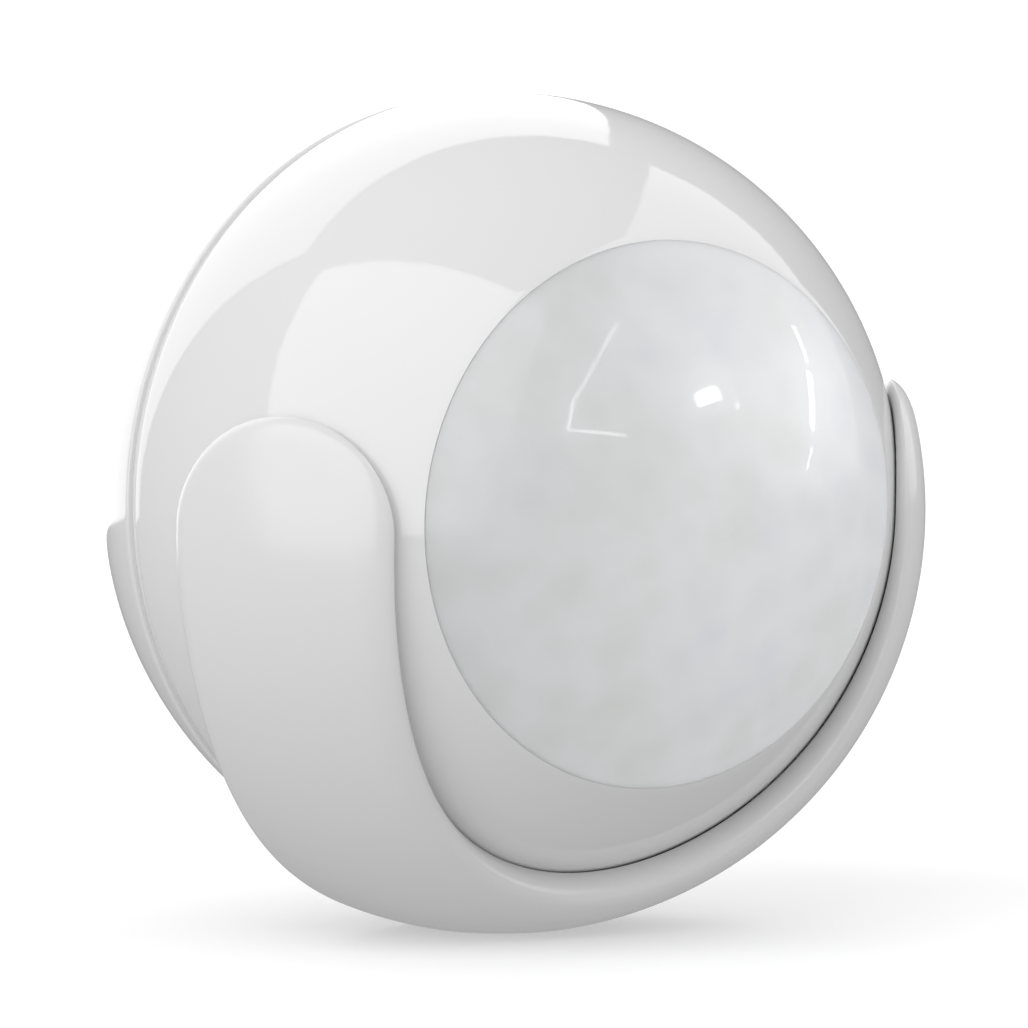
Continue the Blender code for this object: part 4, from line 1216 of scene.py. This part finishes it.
class SENSOR_OT_board_parts(bpy.types.Operator):
    """Model the chips, radio module, lamp, capacitor and antenna"""
    bl_idname = "sensor.board_parts"
    bl_label = "Board Parts"
    ANTENNA_END = math.radians(18)    # lean of the wire's cut end
    ANTENNA_STEPS = 60

    def chip(self, name, node, material):
        """A moulded package with leads round its foot and a marked corner."""
        low, high = ball_box(node)
        step = 0.12 * MM
        margin, pitch, lead = 0.55 * MM, 0.65 * MM, 0.3 * MM
        bm = block((low.x + step, low.y + step, low.z + step),
                   (high.x - step, high.y - step, high.z), 0.06 * MM, 2)
        leads = []
        for axis, across in ((0, 1), (1, 0)):
            span = high[axis] - low[axis] - 2 * margin
            count = max(3, round(span / pitch))
            for i in range(count):
                place = low[axis] + margin + (i + 0.5) * span / count
                for end in (low[across], high[across] - lead):
                    a, b = [0, 0, low.z], [0, 0, low.z + 2 * step]
                    a[axis], b[axis] = place - step, place + step
                    a[across], b[across] = end, end + lead
                    leads.append(block(a, b))
        bm = combine(bm, together(*leads), 'UNION')
        corner = (low.x + 0.8 * MM, high.y - 0.8 * MM)
        dot = rod(0.3 * MM, (*corner, high.z - 0.06 * MM), (*corner, high.z + MM), 32)
        bm = combine(bm, dot, 'DIFFERENCE')
        make_piece(name, bm, material, "ball", "moulding_black", node)

    def lid(self, name, node, material, rim):
        """A pressed metal lid on a slim foot."""
        low, high = ball_box(node)
        foot = block(low, (high.x, high.y, low.z + 0.3 * (high.z - low.z)), 0.05 * MM)
        top = block((low.x + rim, low.y + rim, low.z + 0.1 * MM),
                    (high.x - rim, high.y - rim, high.z), 2.5 * rim / 4, 4)
        make_piece(name, combine(foot, top, 'UNION'), material, "ball", "nickel", node)

    def execute(self, context):
        scene = context.scene
        finish = scene.sensor_finish
        black = satin_plastic("package_black", finish.black, 0.5)
        nickel = plated_metal("lid_nickel", finish.nickel, 0.28)
        self.chip("controller_chip", "microcontroller", black)
        self.chip("motion_chip", "accelerometer", black)
        self.lid("radio_can", "radio_module", nickel, 0.5 * MM)
        self.lid("crystal_lid", "crystal", nickel, 0.2 * MM)

        resin = clear_resin("clear_resin", finish.resin)
        self.light_sensor(resin)
        self.lamp(resin)
        self.capacitor(plated_metal("bare_aluminium", finish.aluminium, 0.3))
        self.antenna(context, nickel)
        return {'FINISHED'}

    def dome(self, radius, rise, top, steps):
        """Profile of a dome, from its foot to its top on the axis."""
        turns = [i * math.pi / 2 / steps for i in range(steps + 1)]
        return [(radius * math.cos(a), top - rise + rise * math.sin(a)) for a in turns]

    def light_sensor(self, resin):
        """A low clear bead on a square base."""
        low, high = ball_box("light_sensor")
        foot = low.z + 0.2 * MM
        base = block(low, (high.x, high.y, high.z - 0.25 * MM), 0.08 * MM, 3)
        bead = turned([(0, foot), (0.7 * MM, foot)] + self.dome(0.7 * MM, 0.4 * MM, high.z, 8),
                      closed=False, segments=48)
        base = combine(base, moved(bead, *middle_of(low, high), 0), 'UNION')
        make_piece("light_sensor_bead", base, resin, "ball", "led_clear", "light_sensor")

    def lamp(self, resin):
        """A round lamp with a flange."""
        low, high = ball_box("status_led")
        radius, flange, rim = 1.5 * MM, (high.x - low.x) / 2, low.z + 0.7 * MM
        dome = self.dome(radius, radius, high.z, 16)
        lamp = turned(rounded([(0, low.z), (flange, low.z), (flange, rim), (radius, rim),
                               dome[0]], 0.1 * MM) + dome[1:], closed=False, segments=64)
        make_piece("status_lamp", moved(lamp, *middle_of(low, high), 0), resin, "ball",
                   "led_clear", "status_led")

    def capacitor(self, aluminium):
        """A crimped can with a cross-shaped vent."""
        low, high = ball_box("reservoir_capacitor")
        radius = (high.x - low.x) / 2
        crimp = [(radius, low.z + 0.9 * MM), (radius - 0.3 * MM, low.z + 1.2 * MM),
                 (radius, low.z + 1.5 * MM)]
        can = turned_solid([(0, low.z), (radius, low.z), *crimp, (radius, high.z), (0, high.z)],
                           0.35 * MM, 96)
        half, reach, depth = 0.08 * MM, 1.5 * MM, 0.12 * MM
        for a, b in ((half, reach), (reach, half)):
            vent = block((-a, -b, high.z - depth), (a, b, high.z + MM))
            can = combine(can, vent, 'DIFFERENCE')
        make_piece("capacitor_can", moved(can, *middle_of(low, high), 0), aluminium, "ball",
                   "capacitor_aluminium", "reservoir_capacitor")

    def antenna(self, context, material):
        """A bent wire along the board's edge."""
        inner = context.scene.sensor_inner
        low, high = ball_box("antenna")
        bend, half = inner.antenna_wire, inner.antenna_wire / 2
        radius = ball_box("sensor_board")[1].y - inner.antenna_inset
        first = math.asin((low.y + half) / radius)
        last = math.acos((low.x + half * math.cos(self.ANTENNA_END)) / radius)
        points = []
        for i in range(self.ANTENNA_STEPS + 1):
            turn = first + (last - first) * i / self.ANTENNA_STEPS
            along = (turn - first) * radius
            fall = bend - chord(bend, bend - along) if along < bend else 0.0
            points.append((radius * math.cos(turn), radius * math.sin(turn), high.z - half - fall))
        points.insert(0, (*points[0][:2], low.z))
        make_piece("wire_antenna", wire(points, half), material, "ball", "nickel", "antenna")


class SENSOR_OT_switch(bpy.types.Operator):
    """Model the program switch and its cap"""
    bl_idname = "sensor.switch"
    bl_label = "Program Switch"

    def execute(self, context):
        scene = context.scene
        finish, inner = scene.sensor_finish, scene.sensor_inner
        gap = scene.sensor_shell.fit_gap
        low, high = ball_box("switch_body")
        cap_low, cap_high = ball_box("button_cap")
        middle = middle_of(low, high)
        body = block((low.x, low.y, low.z + 0.3 * MM), high, 0.2 * MM, 3)
        margin = 0.25 * MM
        plate = block((low.x + margin, low.y + margin, low.z + 0.12 * MM),
                      (high.x - margin, high.y - margin, low.z + 0.8 * MM), 0.1 * MM, 2)
        body = combine(body, plate, 'UNION')
        inset = 0.95 * MM
        pins = [rod(0.42 * MM, (x, y, low.z), (x, y, low.z + 0.5 * MM), 32, 0.08 * MM)
                for x in (low.x + inset, high.x - inset) for y in (low.y + inset, high.y - inset)]
        body = combine(body, together(*pins), 'UNION')
        bore = rod(inner.stem_radius + gap, (*middle, low.z - MM),
                   (*middle, cap_high.z + inner.cap_travel + gap), 64)
        body = combine(body, bore, 'DIFFERENCE')
        make_piece("switch_housing", body, satin_plastic("switch_black", finish.black), "ball",
                   "moulding_black", "switch_body")
        radius = (cap_high.x - cap_low.x) / 2
        dish = [(0, cap_low.z + 0.15 * MM), (0.55 * radius, cap_low.z + 0.12 * MM),
                (0.7 * radius, cap_low.z)]
        cap = turned_solid([*dish, (radius, cap_low.z), (radius, cap_high.z), (0, cap_high.z)],
                           0.3 * MM, 96)
        make_piece("switch_cap", moved(cap, *middle, 0),
                   satin_plastic("cap_white", finish.moulding), "button", "moulding_white",
                   "button_cap")
        return {'FINISHED'}


# ---- stage ------------------------------------------------------------------
def aim(obj, place, target):
    """Put an object at a place with its -Z axis at the target."""
    turn = (target - place).to_track_quat('-Z', 'Y').to_matrix().to_4x4()
    obj.matrix_world = Matrix.Translation(place) @ turn


def heading(azimuth, elevation):
    """Unit vector towards an azimuth and elevation; azimuth 0 is straight ahead of the lens."""
    level = math.cos(elevation)
    return Vector((level * math.sin(azimuth), -level * math.cos(azimuth), math.sin(elevation)))


class SENSOR_OT_stage(bpy.types.Operator):
    """Set the camera, softboxes, ambient light and floor"""
    bl_idname = "sensor.stage"
    bl_label = "Stage"
    SHINE_PLACE = 0.98    # twins seen in reflections stand just in front of the softboxes
    GLINT_PLACE = 0.9     # glints stand in front of both
    FLOOR_RADIUS = 8.0

    # azimuth and elevation of each softbox's plane in degrees, and its left, right, lower and
    # upper edges on that plane as shares of the rig distance
    KEY = (-64.9, 33.0, -0.87, 0.62, -0.85, 0.76)
    LEFT_BACK = (177.9, 33.9, -0.71, 0.49, -0.87, 0.38)
    RIGHT_BACK = (57.1, 38.0, -0.35, 1.00, -0.80, 0.48)

    LENS_FILL = (30.0, -20.0, -0.5, 0.5, -0.5, 0.5)
    # glints: softbox layout, share of the full radiance, lean of the rectangle in degrees
    GLINTS = (
        ((36.6, 24.9, -0.075, 0.075, -0.030, 0.030), 1.0, 0.0),
        ((37.5, 24.5, -0.160, 0.160, -0.075, 0.075), 0.05, 0.0),
        ((46.2, 20.6, -0.015, 0.015, -0.012, 0.012), 0.5, 0.0),
        ((84.6, 21.5, -0.012, 0.012, -0.055, 0.055), 0.8, -32.0),
        ((77.0, 13.6, -0.018, 0.018, -0.100, 0.100), 1.0, -45.0),
        ((69.0, 4.6, -0.008, 0.008, -0.045, 0.045), 0.4, -50.0),
        ((3.0, 41.0, -0.008, 0.008, -0.235, 0.235), 0.3, -45.0),
        ((-10.4, 27.0, -0.008, 0.008, -0.077, 0.077), 0.5, -18.0),
        ((-3.0, 21.0, -0.150, 0.150, -0.008, 0.008), 0.4, -10.0),
    )

    def softbox(self, name, layout, radiance, distance, roll=0.0):
        """A rectangle light on a plane that faces the ball."""
        azimuth, elevation, left, right, low, high = layout
        toward = heading(math.radians(azimuth), math.radians(elevation))
        side = Vector((0, 0, 1)).cross(toward).normalized()
        rise = toward.cross(side)
        lean = Matrix.Rotation(math.radians(roll), 3, toward)
        side, rise = lean @ side, lean @ rise
        light = bpy.data.lights.new(name, 'AREA')
        light.shape = 'RECTANGLE'
        light.size = (right - left) * distance
        light.size_y = (high - low) * distance
        light.energy = radiance * math.pi * light.size * light.size_y
        obj = linked(name, light)
        middle = toward + side * (left + right) / 2 + rise * (low + high) / 2
        turn = Matrix((side, rise, toward)).transposed().to_4x4()
        obj.matrix_world = Matrix.Translation(CENTRE + middle * distance) @ turn
        obj.visible_camera = False
        return obj

    def softbox_pair(self, context, name, layout, radiance, shine):
        """A softbox that lights, and a twin just in front that is seen in reflections."""
        distance = context.scene.sensor_stage.rig
        soft = self.softbox(name, layout, radiance, distance)
        soft.visible_glossy = False
        mirrored = self.softbox(name + "_shine", layout, shine, self.SHINE_PLACE * distance)
        mirrored.visible_diffuse = False

    def light_lens(self, context):
        """Glints on the lens and a fill from low on the right, for the lens alone."""
        stage = context.scene.sensor_stage
        lit = bpy.data.collections.new("lens_only")
        lit.objects.link(bpy.data.objects["lens_dome"])
        fill = self.softbox("lens_fill", self.LENS_FILL, stage.lens_fill, stage.rig)
        fill.visible_glossy = False
        glints = [self.softbox(f"glint_{index}", layout, stage.glint * strength,
                               self.GLINT_PLACE * stage.rig, roll)
                  for index, (layout, strength, roll) in enumerate(self.GLINTS)]
        for light in glints:
            light.visible_diffuse = False
        for light in (fill, *glints):
            light.light_linking.receiver_collection = lit

    def make_inner_glow(self, context):
        """Light that the white inside of the ball throws back at the lens."""
        radius = 0.5 * context.scene.sensor_shell.opening_radius
        light = bpy.data.lights.new("inner_glow", 'AREA')
        light.shape = 'DISK'
        light.size = 2 * radius
        light.energy = context.scene.sensor_stage.inner_glow * math.pi ** 2 * radius ** 2
        obj = linked("inner_glow", light)
        aim(obj, BALL_FRAME @ Vector((0, 0, radius)), BALL_FRAME @ Vector((0, 0, BALL_RADIUS)))
        obj.visible_camera = False
        obj.visible_glossy = False

    def make_camera(self, context):
        """A long lens aimed a little beside the ball's centre."""
        stage = context.scene.sensor_stage
        camera = bpy.data.cameras.new("camera")
        camera.sensor_width = 36.0
        camera.lens = camera.sensor_width * stage.distance / stage.view_width
        camera.clip_end = 100.0
        obj = linked("camera", camera)
        toward = heading(stage.azimuth, stage.elevation)
        side = Vector((math.cos(stage.azimuth), math.sin(stage.azimuth), 0))
        rise = toward.cross(side)
        target = CENTRE + side * stage.aim_right - rise * stage.aim_down
        aim(obj, target + toward * stage.distance, target)
        context.scene.camera = obj

    def make_world(self, context):
        """Ambient light that turns from the ground's to the sky's, on a white ground."""
        stage = context.scene.sensor_stage
        world = bpy.data.worlds.new("studio")
        context.scene.world = world
        world.use_nodes = True
        recipe = Recipe("studio", world.node_tree)
        up = recipe.node('ShaderNodeSeparateXYZ', None,
                         recipe.node('ShaderNodeTexCoord').out("Generated")).out("Z")
        lowest, highest = -0.5, 0.6
        share = recipe.node('ShaderNodeMapRange', None, up, lowest, highest)
        light = recipe.blend(share, (stage.ground,) * 3, (stage.sky,) * 3)
        path = recipe.node('ShaderNodeLightPath')
        shade = recipe.blend(path.out("Is Camera Ray"), light, (1.0, 1.0, 1.0))
        strength = 1.0 - path.out("Is Glossy Ray") * (1.0 - stage.sky_shine)
        back = recipe.node('ShaderNodeBackground', None, shade, strength)
        recipe.node('ShaderNodeOutputWorld', None, back)

    def make_floor(self, context):
        """A pale floor that lights nothing and isn't mirrored in the ball."""
        bm = bmesh.new()
        bmesh.ops.create_circle(bm, cap_ends=True, segments=128, radius=self.FLOOR_RADIUS)
        mesh = as_mesh("floor", bm)
        recipe = Recipe("pale_floor")
        grain = recipe.grain(3.0, 4.0)
        mesh.materials.append(recipe.finish(
            Base_Color=recipe.blend(grain, (0.93, 0.93, 0.93), (0.95, 0.95, 0.95)),
            Roughness=0.9,
            Emission_Color=(1.0, 1.0, 1.0, 1.0),
            Emission_Strength=0.12))
        floor = linked("floor", mesh)
        floor.visible_diffuse = False
        floor.visible_glossy = False
        floor.visible_shadow = False

    def execute(self, context):
        stage = context.scene.sensor_stage
        self.make_camera(context)
        self.softbox_pair(context, "key", self.KEY, stage.key, stage.key_shine)
        self.softbox_pair(context, "left_back", self.LEFT_BACK, stage.fill, stage.left_shine)
        self.softbox_pair(context, "right_back", self.RIGHT_BACK, stage.fill, stage.right_shine)
        self.light_lens(context)
        self.make_inner_glow(context)
        self.make_world(context)
        self.make_floor(context)
        context.scene.view_settings.view_transform = 'Standard'
        return {'FINISHED'}


class SENSOR_PT_panel(bpy.types.Panel):
    """Buttons for every piece"""
    bl_idname = "SENSOR_PT_panel"
    bl_label = "Motion Sensor"
    bl_space_type = 'VIEW_3D'
    bl_region_type = 'UI'
    bl_category = "Sensor"

    def draw(self, context):
        for operator in OPERATORS:
            self.layout.operator(operator.bl_idname)
        for name in GROUPS:
            group = getattr(context.scene, name)
            box = self.layout.box()
            for key in group.bl_rna.properties.keys():
                if key not in ("rna_type", "name"):
                    box.prop(group, key)


GROUPS = {
    "sensor_cradle": SensorCradleSizes,
    "sensor_shell": SensorShellSizes,
    "sensor_inner": SensorInnerSizes,
    "sensor_screw": SensorScrewSizes,
    "sensor_finish": SensorFinishes,
    "sensor_stage": SensorStage,
}
OPERATORS = (
    SENSOR_OT_cradle,
    SENSOR_OT_pad,
    SENSOR_OT_front_shell,
    SENSOR_OT_lens,
    SENSOR_OT_rear_cover,
    SENSOR_OT_lens_ring,
    SENSOR_OT_chassis,
    SENSOR_OT_contacts,
    SENSOR_OT_cell,
    SENSOR_OT_screws,
    SENSOR_OT_board,
    SENSOR_OT_detector,
    SENSOR_OT_board_parts,
    SENSOR_OT_switch,
    SENSOR_OT_stage,
)


def register():
    for cls in (*GROUPS.values(), *OPERATORS, SENSOR_PT_panel):
        bpy.utils.register_class(cls)
    for name, group in GROUPS.items():
        setattr(bpy.types.Scene, name, bpy.props.PointerProperty(type=group))


def unregister():
    for name in GROUPS:
        delattr(bpy.types.Scene, name)
    for cls in reversed((*GROUPS.values(), *OPERATORS, SENSOR_PT_panel)):
        bpy.utils.unregister_class(cls)


def main():
    register()
    for operator in OPERATORS:
        group, name = operator.bl_idname.split(".")
        getattr(getattr(bpy.ops, group), name)()


if __name__ == "__main__":
    main()
